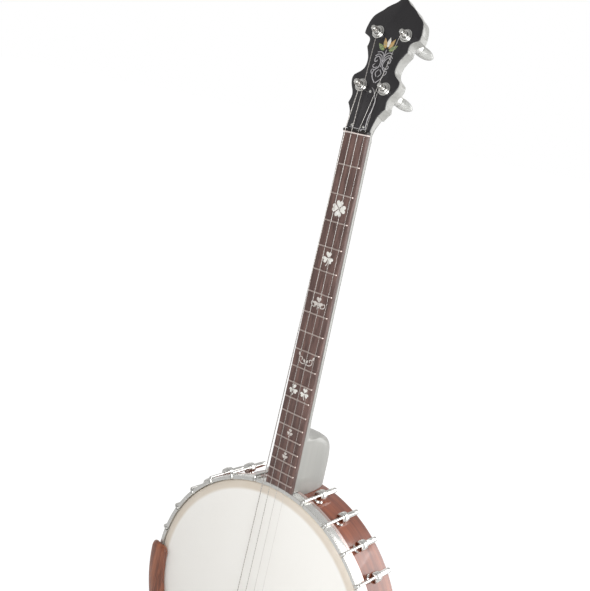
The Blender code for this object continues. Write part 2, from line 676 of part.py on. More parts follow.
def make_truss_cover():
    """Bell-shaped cover over the truss rod nut."""
    half = [(COVER_HALF_WIDTH, COVER_START), (COVER_HALF_WIDTH - 1.2 * MM, 0.5 * COVER_SHOULDER),
            (COVER_HALF_WIDTH, 0.82 * COVER_SHOULDER), (COVER_HALF_WIDTH - 0.6 * MM, COVER_SHOULDER),
            (0.62 * COVER_HALF_WIDTH, 0.55 * COVER_SHOULDER + 0.45 * COVER_TIP),
            (0.36 * COVER_HALF_WIDTH, 0.2 * COVER_SHOULDER + 0.8 * COVER_TIP),
            (0.0, COVER_TIP)]
    outline = half + [(-x, y) for x, y in reversed(half[:-1])]
    piece("truss_rod_cover", plate([outline], GAP, GAP + COVER_THICKNESS), BLACK_LACQUER,
          HEADSTOCK)


def make_truss_rod():
    """Steel rod with a threaded stud, and the hex nut that tightens it."""
    low = TRUSS_ROD_LOW_Z
    rod_end = TRUSS_NUT_START - GAP
    stud_end = rod_end + TRUSS_NUT_LENGTH * 0.7
    mesh = turned([(0.0, stud_end), (TRUSS_STUD_RADIUS, stud_end), (TRUSS_STUD_RADIUS, rod_end),
                   (TRUSS_ROD_RADIUS, rod_end), (TRUSS_ROD_RADIUS, low), (0.0, low)], 8,
                  closed=False)
    mesh.transform(Matrix.Translation((0.0, TRUSS_AXIS_Y, 0.0)))
    piece("truss_rod", mesh, STEEL)
    frame = empty_frame("truss_nut_axis", (0.0, TRUSS_AXIS_Y, TRUSS_NUT_START))
    bore = TRUSS_STUD_RADIUS + HOLE_FIT
    nut = turned([(TRUSS_NUT_RADIUS, TRUSS_NUT_LENGTH), (TRUSS_NUT_RADIUS, 0.0), (bore, 0.0),
                  (bore, TRUSS_NUT_LENGTH)], 6)
    piece("truss_rod_nut", nut, BRASS, frame)


# Fingerboard

def make_string_nut():
    """Bone nut with a slot for each string."""
    half = BOARD_WIDTH_AT_NUT / 2.0
    nut = piece("string_nut", box((-half, -NUT_PROUD, 0.0), (half, BOARD_THICKNESS, NUT_THICKNESS)),
                BONE)
    slots = []
    for index, gauge in enumerate(STRING_GAUGES):
        x = string_x(index, 0.0)
        reach = gauge / 2.0 + GAP
        slots.append(box((x - reach, -NUT_PROUD - 1.0 * MM, -1.0 * MM),
                         (x + reach, -NUT_PROUD + NUT_SLOT_DEPTH, NUT_THICKNESS + 1.0 * MM)))
    cut(nut, grouped(slots))


# A board lying in XZ has its plates made in XY, turned so that their Y runs up the neck
LAID_ON_BOARD = Matrix.Rotation(math.radians(90.0), 4, "X")


def make_fingerboard():
    """Tapered board with its crowned frets, its end following the hoop."""
    low = POT_Z + RIM_OUTER_RADIUS
    half_low = board_half_width(low)
    half_top = board_half_width(0.0)
    outline = [(-half_low, low), (half_low, low), (half_top, -GAP), (-half_top, -GAP)]
    mesh = plate([outline], -BOARD_THICKNESS, 0.0)
    mesh.transform(LAID_ON_BOARD)
    board = piece("fingerboard", mesh, ROSEWOOD)
    cut(board, pot_space(), POT)
    half = FRET_WIDTH / 2.0
    crown = [(-half, FRET_ROOT), (-half, -FRET_SHOULDER), (-0.45 * half, -FRET_HEIGHT),
             (0.45 * half, -FRET_HEIGHT), (half, -FRET_SHOULDER), (half, FRET_ROOT)]
    frets = []
    for number in range(1, FRET_COUNT + 1):
        z = -fret_distance(number)
        reach = board_half_width(z) - FRET_INSET
        fret = plate([crown], -reach, reach)
        # The crown's outline is made in XY and carried along X
        fret.transform(Matrix(((0, 0, 1, 0), (0, 1, 0, 0), (1, 0, 0, z), (0, 0, 0, 1))))
        frets.append(fret)
    cut(board, grouped(frets), operation="UNION")


# Tuners

def make_tuners():
    """Four geared pegs, each a fixed housing, a post with its planets, and a button."""
    back = -HEADSTOCK_THICKNESS - GAP
    housing_low = back - HOUSING_LENGTH
    bore = POST_RADIUS + HOLE_FIT
    shaft_bore = BUTTON_SHAFT_RADIUS + HOLE_FIT
    ring = HOUSING_RADIUS - HOUSING_WALL
    washer_top = GAP + WASHER_THICKNESS
    bushing_top = washer_top + BUSHING_HEIGHT
    carrier_top = back - HOUSING_WALL - GAP
    carrier_low = carrier_top - CARRIER_THICKNESS
    planet_low = carrier_low - PLANET_LENGTH
    planet_orbit = ring - GAP - PLANET_RADIUS
    for number, (x, y) in enumerate(tuner_places(), start=1):
        frame = empty_frame("tuner_axis_%d" % number, (x, y, 0.0), parent=HEADSTOCK)
        housing = turned(
            [(BUSHING_RADIUS - 1.0 * MM, bushing_top), (BUSHING_RADIUS, bushing_top - 1.0 * MM),
             (BUSHING_RADIUS, washer_top), (WASHER_RADIUS, washer_top), (WASHER_RADIUS, GAP),
             (TUNER_BODY_RADIUS, GAP), (TUNER_BODY_RADIUS, back), (HOUSING_RADIUS, back),
             (HOUSING_RADIUS, housing_low), (shaft_bore, housing_low),
             (shaft_bore, housing_low + HOUSING_WALL), (ring, housing_low + HOUSING_WALL),
             (ring, back - HOUSING_WALL), (bore, back - HOUSING_WALL), (bore, bushing_top)], 10)
        piece("tuner_housing_%d" % number, housing, CHROME, frame)
        post = turned([(0.0, POST_HEIGHT), (POST_RADIUS * 0.8, POST_HEIGHT),
                       (POST_RADIUS, POST_HEIGHT - 0.7 * MM), (POST_RADIUS, POST_WAIST_END),
                       (POST_WAIST_RADIUS, POST_WAIST_END - 0.6 * MM),
                       (POST_WAIST_RADIUS, POST_WAIST_START),
                       (POST_RADIUS, POST_WAIST_START - 0.6 * MM), (POST_RADIUS, carrier_top),
                       (CARRIER_RADIUS, carrier_top), (CARRIER_RADIUS, carrier_low),
                       (0.0, carrier_low)], 8, closed=False)
        post = piece("tuner_post_%d" % number, post, CHROME, frame)
        planets = []
        for index in range(PLANET_COUNT):
            angle = 2.0 * math.pi * index / PLANET_COUNT
            planets.append(placed(cylinder(PLANET_RADIUS, planet_low, carrier_low + 0.5 * MM, 6),
                                  Matrix.Translation((planet_orbit * math.cos(angle),
                                                      planet_orbit * math.sin(angle), 0.0))))
        cut(post, grouped(planets), frame, "UNION")
        slot = box((-POST_RADIUS * 2.0, -POST_SLOT_HALF_WIDTH, POST_HEIGHT - POST_SLOT_DEPTH),
                   (POST_RADIUS * 2.0, POST_SLOT_HALF_WIDTH, POST_HEIGHT + 1.0 * MM))
        cut(post, slot, frame)
        make_button(number, frame, math.copysign(BUTTON_REST_ANGLE, -x), housing_low,
                    carrier_low - GAP)


def button_mesh(top, length):
    """A pearl button: narrow at its shaft, broad and thin towards its far end."""
    rings = []
    sides = 10
    for share, width, thickness in ((0.0, 0.34, 0.62), (0.2, 0.72, 0.9), (0.5, 1.0, 1.0),
                                    (0.8, 0.94, 0.86), (1.0, 0.62, 0.5)):
        height = top - share * length
        ring = []
        for index in range(sides):
            angle = 2.0 * math.pi * index / sides
            ring.append(Vector((BUTTON_HALF_WIDTH * width * math.cos(angle),
                                BUTTON_HALF_THICKNESS * thickness * math.sin(angle), height)))
        rings.append(ring)
    bm = bmesh.new()
    verts = [[bm.verts.new(point) for point in ring] for ring in rings]
    for low, high in zip(verts, verts[1:]):
        for index in range(sides):
            after = (index + 1) % sides
            bm.faces.new((low[index], low[after], high[after], high[index]))
    bm.faces.new(verts[0])
    bm.faces.new(verts[-1])
    return close_mesh("button", bm)


def make_button(number, frame, angle, housing_low, sun_end):
    """The button at its angle about the tuner's axis, with its shaft and sun gear."""
    top = housing_low - BUTTON_STANDOFF
    middle = top - 0.5 * BUTTON_LENGTH
    floor = housing_low + HOUSING_WALL + GAP
    pearl = placed(button_mesh(top, BUTTON_LENGTH), Matrix.Rotation(angle, 4, "Z"))
    button = piece("tuner_button_%d" % number, pearl, PEARLOID, frame)
    shaft = turned([(0.0, sun_end), (SUN_RADIUS, sun_end), (SUN_RADIUS, floor),
                    (BUTTON_SHAFT_RADIUS, floor), (BUTTON_SHAFT_RADIUS, middle),
                    (0.0, middle)], 8, closed=False)
    cut(button, shaft, frame, "UNION")


# Pot

def pot_height(depth):
    """Height in the pot's frame of a depth behind the fingerboard surface."""
    return -depth


def around_pot(mesh, places):
    """Copies of a mesh, made at the neck's side, at a list of bracket places."""
    copies = [placed(mesh, Matrix.Rotation(-place * BRACKET_STEP, 4, "Z")) for place in places]
    bpy.data.meshes.remove(mesh)
    return grouped(copies)


def bracket_places():
    """Every bracket place but the neck's and the tailpiece's."""
    return [place for place in range(BRACKET_PLACES) if place not in (0, BRACKET_PLACES // 2)]


def radial(mesh, depth, place=0.0):
    """A mesh made about Z, turned so that its Z points out from the pot at a place."""
    out = Matrix.Rotation(math.radians(-90.0), 4, "X")
    lift = Matrix.Translation((0.0, 0.0, pot_height(depth)))
    return placed(mesh, Matrix.Rotation(-place * BRACKET_STEP, 4, "Z") @ lift @ out)


def inside_rim(half_width):
    """Distance from the pot's axis at which a flat face clears the rim's faceted inner wall."""
    return RIM_INNER_RADIUS - half_width * math.tan(math.pi / POT_SEGMENTS) - GAP


def make_rim():
    """Wooden rim, drilled for the bracket bolts and for the coordinator rod's ends."""
    front = pot_height(RIM_FRONT_Y)
    back = pot_height(RIM_BACK_Y)
    rim = piece("rim", turned([(RIM_INNER_RADIUS, front), (RIM_OUTER_RADIUS, front),
                               (RIM_OUTER_RADIUS, back + RIM_CHAMFER),
                               (RIM_OUTER_RADIUS - RIM_CHAMFER, back),
                               (RIM_INNER_RADIUS, back)], POT_SEGMENTS), MAHOGANY, POT)
    low = RIM_INNER_RADIUS - 5.0 * MM
    high = RIM_OUTER_RADIUS + 5.0 * MM
    holes = [radial(cylinder(SHOE_BOLT_RADIUS + HOLE_FIT, low, high, 6), SHOE_Y, place)
             for place in bracket_places()]
    for place in (0, BRACKET_PLACES // 2):
        holes.append(radial(cylinder(LAG_RADIUS + HOLE_FIT, low, high, 8), ROD_Y, place))
    cut(rim, grouped(holes), POT)


def make_tone_ring():
    """Round brass ring on the rim's front, under the head."""
    middle = RIM_OUTER_RADIUS - TONE_RING_RADIUS
    height = pot_height(TONE_RING_Y)
    profile = []
    for index in range(6):
        angle = math.radians(30.0 + 60.0 * index)
        profile.append((middle + TONE_RING_RADIUS * math.cos(angle),
                        height + TONE_RING_RADIUS * math.sin(angle)))
    piece("tone_ring", turned(profile, POT_SEGMENTS), BRASS, POT, 60.0)


def make_head():
    """Film head: flat, rounded over the tone ring, with a skirt down to its flesh hoop."""
    front = pot_height(HEAD_FRONT_Y)
    skirt = front - HEAD_SKIRT_HEIGHT
    crown = HEAD_SHOULDER_WIDTH
    drop = HEAD_SHOULDER_DROP
    film = HEAD_THICKNESS
    profile = [(0.0, front), (HEAD_RADIUS - crown, front),
               (HEAD_RADIUS - 0.3 * crown, front - 0.36 * drop), (HEAD_RADIUS, front - drop),
               (HEAD_RADIUS, skirt), (HEAD_RADIUS - film, skirt),
               (HEAD_RADIUS - film, front - drop - 0.2 * film),
               (HEAD_RADIUS - 0.3 * crown - 0.8 * film, front - 0.36 * drop - 0.8 * film),
               (HEAD_RADIUS - crown - 0.2 * film, front - film), (0.0, front - film)]
    piece("head", turned(profile, POT_SEGMENTS, closed=False), HEAD_FILM, POT, 50.0)


def make_hoops():
    """Flesh hoop round the head's skirt, and the notched tension hoop that presses on it."""
    low = pot_height(FLESH_BACK_Y)
    high = pot_height(FLESH_FRONT_Y)
    piece("flesh_hoop", turned([(HOOP_INNER_RADIUS, high), (HOOP_OUTER_RADIUS, high),
                                (HOOP_OUTER_RADIUS, low), (HOOP_INNER_RADIUS, low)],
                               POT_SEGMENTS), ALUMINIUM, POT)
    low = pot_height(HOOP_BACK_Y)
    high = pot_height(HOOP_FRONT_Y)
    hoop = piece("tension_hoop", turned([(HOOP_INNER_RADIUS, high), (HOOP_OUTER_RADIUS, high),
                                         (HOOP_OUTER_RADIUS, low), (HOOP_INNER_RADIUS, low)],
                                        POT_SEGMENTS), CHROME, POT)
    half = HOOK_RADIUS + HOOK_NOTCH_MARGIN
    notch = box((-half, HOOP_INNER_RADIUS - 3.0 * MM, high - HOOK_NOTCH_DEPTH),
                (half, HOOP_OUTER_RADIUS + 3.0 * MM, high + 3.0 * MM))
    cut(hoop, around_pot(notch, bracket_places()), POT)


def bracket_mesh():
    """Hook, shoe, nut and bolt of one bracket, at the neck's side of the pot."""
    notch_floor = pot_height(HOOP_FRONT_Y + HOOK_NOTCH_DEPTH)
    shoe = pot_height(SHOE_Y)
    nut_top = shoe - SHOE_HALF_LENGTH - GAP
    nut_low = nut_top - BRACKET_NUT_LENGTH
    seat = notch_floor + GAP
    reach = HOOK_CIRCLE_RADIUS - HOOP_OUTER_RADIUS
    bend = [(0.0, HOOP_OUTER_RADIUS + reach * math.cos(angle), seat + HOOK_RADIUS * math.sin(angle))
            for angle in (0.0, math.radians(50.0), math.radians(90.0))]
    tail = (0.0, HOOK_CIRCLE_RADIUS, shoe + 0.5 * SHOE_HALF_LENGTH)
    tip = (0.0, HOOP_INNER_RADIUS + 0.5 * MM, bend[-1][2])
    hook = tube([tail] + bend + [tip], HOOK_RADIUS)
    stand = Matrix.Translation((0.0, HOOK_CIRCLE_RADIUS, 0.0))
    barrel = placed(cylinder(SHOE_RADIUS, shoe - SHOE_HALF_LENGTH, shoe + SHOE_HALF_LENGTH, 8), stand)
    middle = shoe - 0.5 * SHOE_HALF_LENGTH
    core = HOOK_THREAD_SHARE * HOOK_RADIUS
    nut = placed(turned([(0.0, middle), (core, middle), (core, nut_top),
                         (BRACKET_NUT_RADIUS, nut_top), (BRACKET_NUT_RADIUS, nut_low),
                         (0.0, nut_low)], 6, closed=False), stand)
    foot_end = HOOK_CIRCLE_RADIUS - HOOK_RADIUS - SHOE_WEB
    foot = radial(cylinder(SHOE_FOOT_RADIUS, RIM_OUTER_RADIUS + GAP, foot_end, 6), SHOE_Y)
    seat = inside_rim(SHOE_BOLT_HEAD_RADIUS)
    bolt = radial(turned([(0.0, RIM_OUTER_RADIUS + SHOE_BOLT_GRIP),
                          (SHOE_BOLT_RADIUS, RIM_OUTER_RADIUS + SHOE_BOLT_GRIP),
                          (SHOE_BOLT_RADIUS, seat), (SHOE_BOLT_HEAD_RADIUS, seat),
                          (SHOE_BOLT_HEAD_RADIUS, seat - SHOE_BOLT_HEAD_HEIGHT),
                          (0.0, seat - SHOE_BOLT_HEAD_HEIGHT)], 6, closed=False), SHOE_Y)
    return joined([barrel, nut, foot, bolt, hook])


def make_brackets():
    """A bracket at every place but the neck's and the tailpiece's, from one mesh."""
    mesh = bracket_mesh()
    for number, place in enumerate(bracket_places(), start=1):
        bracket = piece("bracket_%02d" % number, mesh, CHROME, POT)
        bracket.rotation_euler.z = -place * BRACKET_STEP


def make_coordinator_rod():
    """Rod across the pot: lag screw in the heel, jam nut, rod, and end bolt at the tail."""
    inner = inside_rim(JAM_NUT_RADIUS)
    tail_seat = -(RIM_OUTER_RADIUS + GAP + BRACKET_PLATE_THICKNESS + GAP)
    profile = [(0.0, RIM_OUTER_RADIUS + LAG_IN_HEEL), (LAG_RADIUS, RIM_OUTER_RADIUS + LAG_IN_HEEL),
               (LAG_RADIUS, inner), (JAM_NUT_RADIUS, inner), (JAM_NUT_RADIUS, inner - JAM_NUT_THICKNESS),
               (ROD_RADIUS, inner - JAM_NUT_THICKNESS), (ROD_RADIUS, -inner), (LAG_RADIUS, -inner),
               (LAG_RADIUS, tail_seat), (END_BOLT_HEAD_RADIUS, tail_seat),
               (END_BOLT_HEAD_RADIUS, tail_seat - END_BOLT_HEAD_HEIGHT),
               (0.0, tail_seat - END_BOLT_HEAD_HEIGHT)]
    piece("coordinator_rod", radial(turned(profile, 8, closed=False), ROD_Y), STEEL, POT)


# Tailpiece, bridge and strings

def make_tailpiece():
    """Tailpiece base with its string pegs and hinge pin, its hinged cover and its hanger."""
    half = TAILPIECE_HALF_WIDTH
    front_z = HINGE_Z + TAILPIECE_LENGTH
    ear = HANGER_RADIUS + TAILPIECE_EAR_WALL
    corner = TAILPIECE_CORNER
    flare_start = HINGE_Z - TAILPIECE_FLARE_START
    flare_end = HINGE_Z + TAILPIECE_FLARE_END
    outline = [(-half, front_z - corner), (-half + corner, front_z), (half - corner, front_z),
               (half, front_z - corner), (half, flare_end), (ear, flare_start),
               (ear, HANGER_Z - ear), (-ear, HANGER_Z - ear), (-ear, flare_start),
               (-half, flare_end)]
    mesh = plate([[(x, y) for x, y in reversed(outline)]], 0.0, TAILPIECE_THICKNESS)
    mesh.transform(Matrix.Translation((0.0, TAILPIECE_BACK_Y, 0.0)) @ LAID_ON_BOARD)
    base = piece("tailpiece_base", mesh, CHROME)
    knuckle_half = HINGE_LUG_HALF_LENGTH
    knuckle_x = half - knuckle_half - HINGE_LUG_INSET
    barrel_centre = Matrix.Translation((0.0, HINGE_Y, HINGE_Z))
    sideways = Matrix.Rotation(math.radians(90.0), 4, "Y")
    lugs = []
    for x in (-knuckle_x, knuckle_x):
        lug = box((x - knuckle_half, HINGE_Y - 0.5 * HINGE_BARREL_RADIUS, HINGE_Z - HINGE_BARREL_RADIUS),
                  (x + knuckle_half, TAILPIECE_FRONT_Y + 0.5 * TAILPIECE_THICKNESS,
                   HINGE_Z + HINGE_BARREL_RADIUS))
        lugs.append(lug)
    cut(base, grouped(lugs), operation="UNION")
    pegs = []
    for index in range(len(STRING_GAUGES)):
        x = string_x(index, -SCALE_LENGTH)
        peg = cylinder(PEG_RADIUS, -0.5 * TAILPIECE_THICKNESS, PEG_HEIGHT, 8)
        peg.transform(Matrix.Translation((x, TAILPIECE_FRONT_Y, PEG_Z)) @ LAID_ON_BOARD)
        pegs.append(peg)
    cut(base, grouped(pegs), operation="UNION")
    pin = cylinder(HINGE_PIN_RADIUS, -half + knuckle_half, half - knuckle_half, 8)
    cut(base, placed(pin, barrel_centre @ sideways), operation="UNION")
    hanger_hole = cylinder(HANGER_RADIUS + HOLE_FIT, -10.0 * MM, 10.0 * MM, 8)
    hanger_hole.transform(Matrix.Translation((0.0, TAILPIECE_FRONT_Y, HANGER_Z)) @ LAID_ON_BOARD)
    cut(base, hanger_hole)
    make_tailpiece_cover(front_z, knuckle_half)
    make_hanger()


def make_tailpiece_cover(front_z, knuckle_half):
    """Cover plate with a barrel on the hinge pin and a lip ahead of the string pegs."""
    frame = empty_frame("tailpiece_cover_axis", (0.0, HINGE_Y, HINGE_Z))
    half = TAILPIECE_HALF_WIDTH
    inner = half - 2.0 * knuckle_half - HINGE_LUG_INSET - HINGE_SIDE_PLAY
    reach = front_z - HINGE_Z
    back_y = TAILPIECE_FRONT_Y - COVER_PLATE_LIFT - HINGE_Y
    tip = reach - COVER_END_PLAY
    right = [(inner, 0.0), (inner, COVER_FLARE_START), (half, COVER_FLARE_END),
             (half, tip - COVER_LIP_SLOPE), (half - COVER_LIP_CORNER, tip)]
    outline = right + [(-x, y) for x, y in reversed(right)]
    mesh = plate([outline], 0.0, COVER_PLATE_THICKNESS)
    mesh.transform(Matrix.Translation((0.0, back_y, 0.0)) @ LAID_ON_BOARD)
    cover = piece("tailpiece_cover", mesh, CHROME, frame)
    barrel = cylinder(HINGE_BARREL_RADIUS, -inner, inner, 10)
    web = box((-inner, back_y - 0.5 * COVER_PLATE_THICKNESS, -0.45 * HINGE_BARREL_RADIUS),
              (inner, 0.0, 0.45 * HINGE_BARREL_RADIUS))
    sideways = Matrix.Rotation(math.radians(90.0), 4, "Y")
    cut(cover, placed(barrel, sideways), frame, "UNION")
    cut(cover, web, frame, "UNION")
    cut(cover, placed(cylinder(HINGE_PIN_RADIUS + HOLE_FIT, -2.0 * half, 2.0 * half, 8), sideways),
        frame)


def make_hanger():
    """Bent bracket on the coordinator rod's end bolt, with the bolt and nut of the tailpiece."""
    seat = TAILPIECE_FRONT_Y - GAP
    half = BRACKET_PLATE_HALF_WIDTH
    thickness = BRACKET_PLATE_THICKNESS
    shelf_y = ROD_Y - SHELF_FROM_ROD
    nut_y = shelf_y + thickness
    wall_z = POT_Z - RIM_OUTER_RADIUS - GAP
    back = ROD_Y + END_BOLT_HEAD_RADIUS + PLATE_PAST_BOLT
    out_z = HANGER_Z - HANGER_RADIUS - SHELF_PAST_BOLT
    outline = [(wall_z, shelf_y), (wall_z, back), (wall_z - thickness, back),
               (wall_z - thickness, shelf_y + thickness), (out_z, shelf_y + thickness),
               (out_z, shelf_y)]
    mesh = plate([outline], -half, half)
    mesh.transform(Matrix(((0, 0, 1, 0), (0, 1, 0, 0), (1, 0, 0, 0), (0, 0, 0, 1))))
    hanger = piece("tailpiece_hanger", mesh, CHROME)
    cut(hanger, radial(cylinder(LAG_RADIUS + HOLE_FIT, RIM_OUTER_RADIUS - 2.0 * MM,
                                RIM_OUTER_RADIUS + 10.0 * MM, 8), ROD_Y, BRACKET_PLACES // 2), POT)
    end = nut_y + HANGER_NUT_THICKNESS + HANGER_BOLT_PAST_NUT
    bolt = turned([(0.0, HANGER_HEAD_HEIGHT), (HANGER_HEAD_RADIUS, HANGER_HEAD_HEIGHT),
                   (HANGER_HEAD_RADIUS, 0.0), (HANGER_RADIUS, 0.0),
                   (HANGER_RADIUS, seat - end), (0.0, seat - end)], 8, closed=False)
    bolt.transform(Matrix.Translation((0.0, seat, HANGER_Z)) @ LAID_ON_BOARD)
    cut(hanger, bolt, operation="UNION")
    nut = cylinder(HANGER_NUT_RADIUS, -HANGER_NUT_THICKNESS, 0.5 * thickness, 6)
    nut.transform(Matrix.Translation((0.0, nut_y, HANGER_Z)) @ LAID_ON_BOARD)
    cut(hanger, nut, operation="UNION")


def make_bridge():
    """Three-footed bridge, slotted along its top for the strings."""
    foot_y = HEAD_FRONT_Y - GAP
    height = foot_y - (BRIDGE_LINE_Y + STRING_GAUGES[0] / 2.0 - BRIDGE_SLOT_DEPTH)
    end = BRIDGE_HALF_LENGTH
    crown = BRIDGE_CROWN_HALF_LENGTH
    arch = end - BRIDGE_END_FOOT - BRIDGE_MIDDLE_FOOT_HALF
    half = [(BRIDGE_MIDDLE_FOOT_HALF + share * arch, rise * height) for share, rise in
            ((0.0, 0.0), (0.093, 0.30), (0.279, 0.48), (0.674, 0.48), (0.884, 0.30), (1.0, 0.0))]
    shoulder = crown + 0.25 * (end - crown)
    half += [(end, 0.0), (end, 0.22 * height), (shoulder, 0.7 * height), (crown, height)]
    outline = half + [(-x, y) for x, y in reversed(half)]
    thick = BRIDGE_FOOT_HALF_THICKNESS
    mesh = plate([outline], -thick, thick)
    for vertex in mesh.vertices:
        share = vertex.co.y / height
        vertex.co.z *= 1.0 - share * (1.0 - BRIDGE_TOP_HALF_THICKNESS / thick)
    mesh.transform(Matrix(((1, 0, 0, 0), (0, -1, 0, foot_y), (0, 0, 1, -SCALE_LENGTH), (0, 0, 0, 1))))
    mesh.flip_normals()
    bridge = piece("bridge", mesh, MAPLE)
    slots = []
    for index, gauge in enumerate(STRING_GAUGES):
        x = string_x(index, -SCALE_LENGTH)
        width = gauge / 2.0 + GAP
        slots.append(box((x - width, foot_y - height - 3.0 * MM, -SCALE_LENGTH - thick),
                         (x + width, BRIDGE_LINE_Y + gauge / 2.0 + GAP, -SCALE_LENGTH + thick)))
    cut(bridge, grouped(slots))


WINDING_TURNS = (2, 2, 3, 3)
WINDING_POINTS = 10              # in each turn
WINDING_SPACING = 0.5 * MM       # free space between turns


def headstock_point(x, station, height):
    """World place of a point in the headstock's frame."""
    return Vector((x, HEADSTOCK_FACE_DROP - height * math.cos(HEADSTOCK_TILT)
                   + station * math.sin(HEADSTOCK_TILT),
                   station * math.cos(HEADSTOCK_TILT) + height * math.sin(HEADSTOCK_TILT)))


def winding(turns, gauge, tuner):
    """A string's turns round its post, starting where it arrives from the nut."""
    x, station = tuner
    side = math.copysign(1.0, x)
    reach = POST_WAIST_RADIUS + GAP + gauge / 2.0
    pitch = gauge + WINDING_SPACING
    start_height = POST_WAIST_START + gauge / 2.0 + 0.4 * MM
    points = []
    for step in range(turns * WINDING_POINTS + 1):
        turn = 2.0 * math.pi * step / WINDING_POINTS
        bearing = math.pi - turn if side > 0.0 else turn
        points.append(headstock_point(x + reach * math.cos(bearing),
                                      station + reach * math.sin(bearing),
                                      start_height + pitch * turn / (2.0 * math.pi)))
    return points


def least_own_gap(points, gauge):
    """Least free distance between stretches of a winding that are a turn apart."""
    least = 1.0
    for first in range(len(points)):
        for second in range(first + WINDING_POINTS - 1, len(points)):
            least = min(least, (points[first] - points[second]).length - gauge)
    return least


def make_strings():
    """Four strings from their pegs over the bridge and the nut to the tuner posts."""
    tuners = tuner_places()
    order = (tuners[0], tuners[2], tuners[3], tuners[1])
    for index, (gauge, tuner) in enumerate(zip(STRING_GAUGES, order)):
        radius = gauge / 2.0
        x_bridge = string_x(index, -SCALE_LENGTH)
        x_nut = string_x(index, 0.0)
        nut_y = -NUT_PROUD + NUT_SLOT_DEPTH - GAP - radius
        turns = winding(WINDING_TURNS[index], gauge, tuner)
        print("string %d: least gap between its turns %.2f mm"
              % (index + 1, least_own_gap(turns, gauge) / MM))
        loop = PEG_RADIUS + GAP + radius
        points = [Vector((x_bridge - loop, STRING_Y_AT_TAILPIECE, PEG_Z + STRING_TAIL_LENGTH))]
        for degrees in (180.0, 225.0, 270.0, 315.0, 360.0):
            angle = math.radians(degrees)
            points.append(Vector((x_bridge + loop * math.cos(angle), STRING_Y_AT_TAILPIECE,
                                  PEG_Z + loop * math.sin(angle))))
        points.append(Vector((x_bridge, STRING_Y_AT_TAILPIECE, PEG_Z + STRING_TWIST_LENGTH)))
        points.append(Vector((x_bridge, BRIDGE_LINE_Y, -SCALE_LENGTH)))
        points.append(Vector((x_nut, nut_y, 0.0)))
        points.append(Vector((x_nut, nut_y, NUT_THICKNESS)))
        piece("string_%d" % (index + 1), tube(points + turns, radius), STEEL)


# Armrest

def armrest_angles():
    """Bearings of the armrest's two ends, measured from the neck towards the bass side."""
    start = ARMREST_FIRST_BRACKET * BRACKET_STEP - ARMREST_END_ANGLE
    end = ARMREST_SECOND_BRACKET * BRACKET_STEP + 2.0 * ARMREST_END_ANGLE
    return start, end


def make_armrest():
    """Arched wooden rest that follows the hoop, with the two clamps that grip the flesh hoop."""
    inner = HOOP_INNER_RADIUS - ARMREST_INSIDE_HOOP
    outer = HOOP_OUTER_RADIUS + ARMREST_OUTSIDE_HOOP
    underside = pot_height(HOOP_FRONT_Y - GAP) + CLAMP_THICKNESS
    width = outer - inner
    top = underside + ARMREST_THICKNESS
    flat_end = HOOP_OUTER_RADIUS + ARMREST_FLAT_PAST_HOOP
    section = [(inner, underside), (inner, underside + 0.7 * ARMREST_THICKNESS),
               (inner + 0.22 * width, top), (inner + 0.6 * width, top),
               (outer - 0.1 * width, underside + 0.55 * ARMREST_THICKNESS),
               (outer, underside - ARMREST_LIP), (flat_end, underside)]
    start, end = armrest_angles()
    steps = 10
    bm = bmesh.new()
    rows = []
    middle = (inner + outer) / 2.0
    for index in range(-2, steps + 3):
        share = min(max(index / steps, 0.0), 1.0)
        past = -min(index, 0) if index < 0 else max(index - steps, 0)
        shrink = (1.0, 0.86, 0.55)[past]
        extra = (0.0, 0.034, 0.056)[past] * (-1.0 if index < 0 else 1.0)
        bearing = start + (end - start) * share + extra
        row = []
        for radius, height in section:
            r = middle + (radius - middle) * shrink
            h = underside + (height - underside) * (1.0 if past == 0 else 0.9 * shrink)
            row.append(bm.verts.new((-r * math.sin(bearing), r * math.cos(bearing), h)))
        rows.append(row)
    count = len(section)
    for low, high in zip(rows, rows[1:]):
        for index in range(count):
            after = (index + 1) % count
            bm.faces.new((low[index], low[after], high[after], high[index]))
    bm.faces.new(rows[0])
    bm.faces.new(rows[-1])
    armrest = piece("armrest", close_mesh("armrest", bm), WALNUT, POT)
    make_armrest_clamps(armrest, underside)


def make_armrest_clamps(armrest, underside):
    """Two bent straps under the armrest, joined to it."""
    face = HOOP_OUTER_RADIUS + GAP
    thickness = CLAMP_THICKNESS
    inner = HOOP_INNER_RADIUS - CLAMP_FROM_HOOP
    under = pot_height(FLESH_BACK_Y) - GAP
    top = underside + thickness / 3.0
    tab = underside - thickness
    toe = RIM_OUTER_RADIUS + CLAMP_TOE
    outline = [(inner, top), (inner, tab), (face, tab), (face, under), (toe, under),
               (toe, under - thickness), (face + thickness, under - thickness),
               (face + thickness, top)]
    strap = plate([outline], -CLAMP_HALF_WIDTH, CLAMP_HALF_WIDTH)
    # The outline's X is the radius and its Y the height, so stand it up across the pot
    strap.transform(Matrix(((0, 0, 1, 0), (1, 0, 0, 0), (0, 1, 0, 0), (0, 0, 0, 1))))
    straps = [placed(strap, Matrix.Rotation(place * BRACKET_STEP, 4, "Z"))
              for place in (ARMREST_FIRST_BRACKET, ARMREST_SECOND_BRACKET)]
    cut(armrest, grouped(straps), POT, "UNION")
    bpy.data.meshes.remove(strap)


def main():
    """Build every piece of the banjo."""
    make_neck()
    make_headstock_veneer()
    make_truss_cover()
    make_truss_rod()
    make_string_nut()
    make_fingerboard()
    make_tuners()
    make_rim()
    make_tone_ring()
    make_head()
    make_hoops()
    make_brackets()
    make_coordinator_rod()
    make_tailpiece()
    make_bridge()
    make_strings()
    make_armrest()


main()
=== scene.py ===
"""Tenor banjo with an open-back pot: the fine surfaces and finishes around the fixed model.

The neck runs up along +Z and the playing side faces -Y. Shapes are worked out in millimetres
and become metres when a mesh is made. Two frames are used beside the world's: the headstock's,
which lies in its tilted face, and the pot's, with places given to the right, up and in depth.
"""

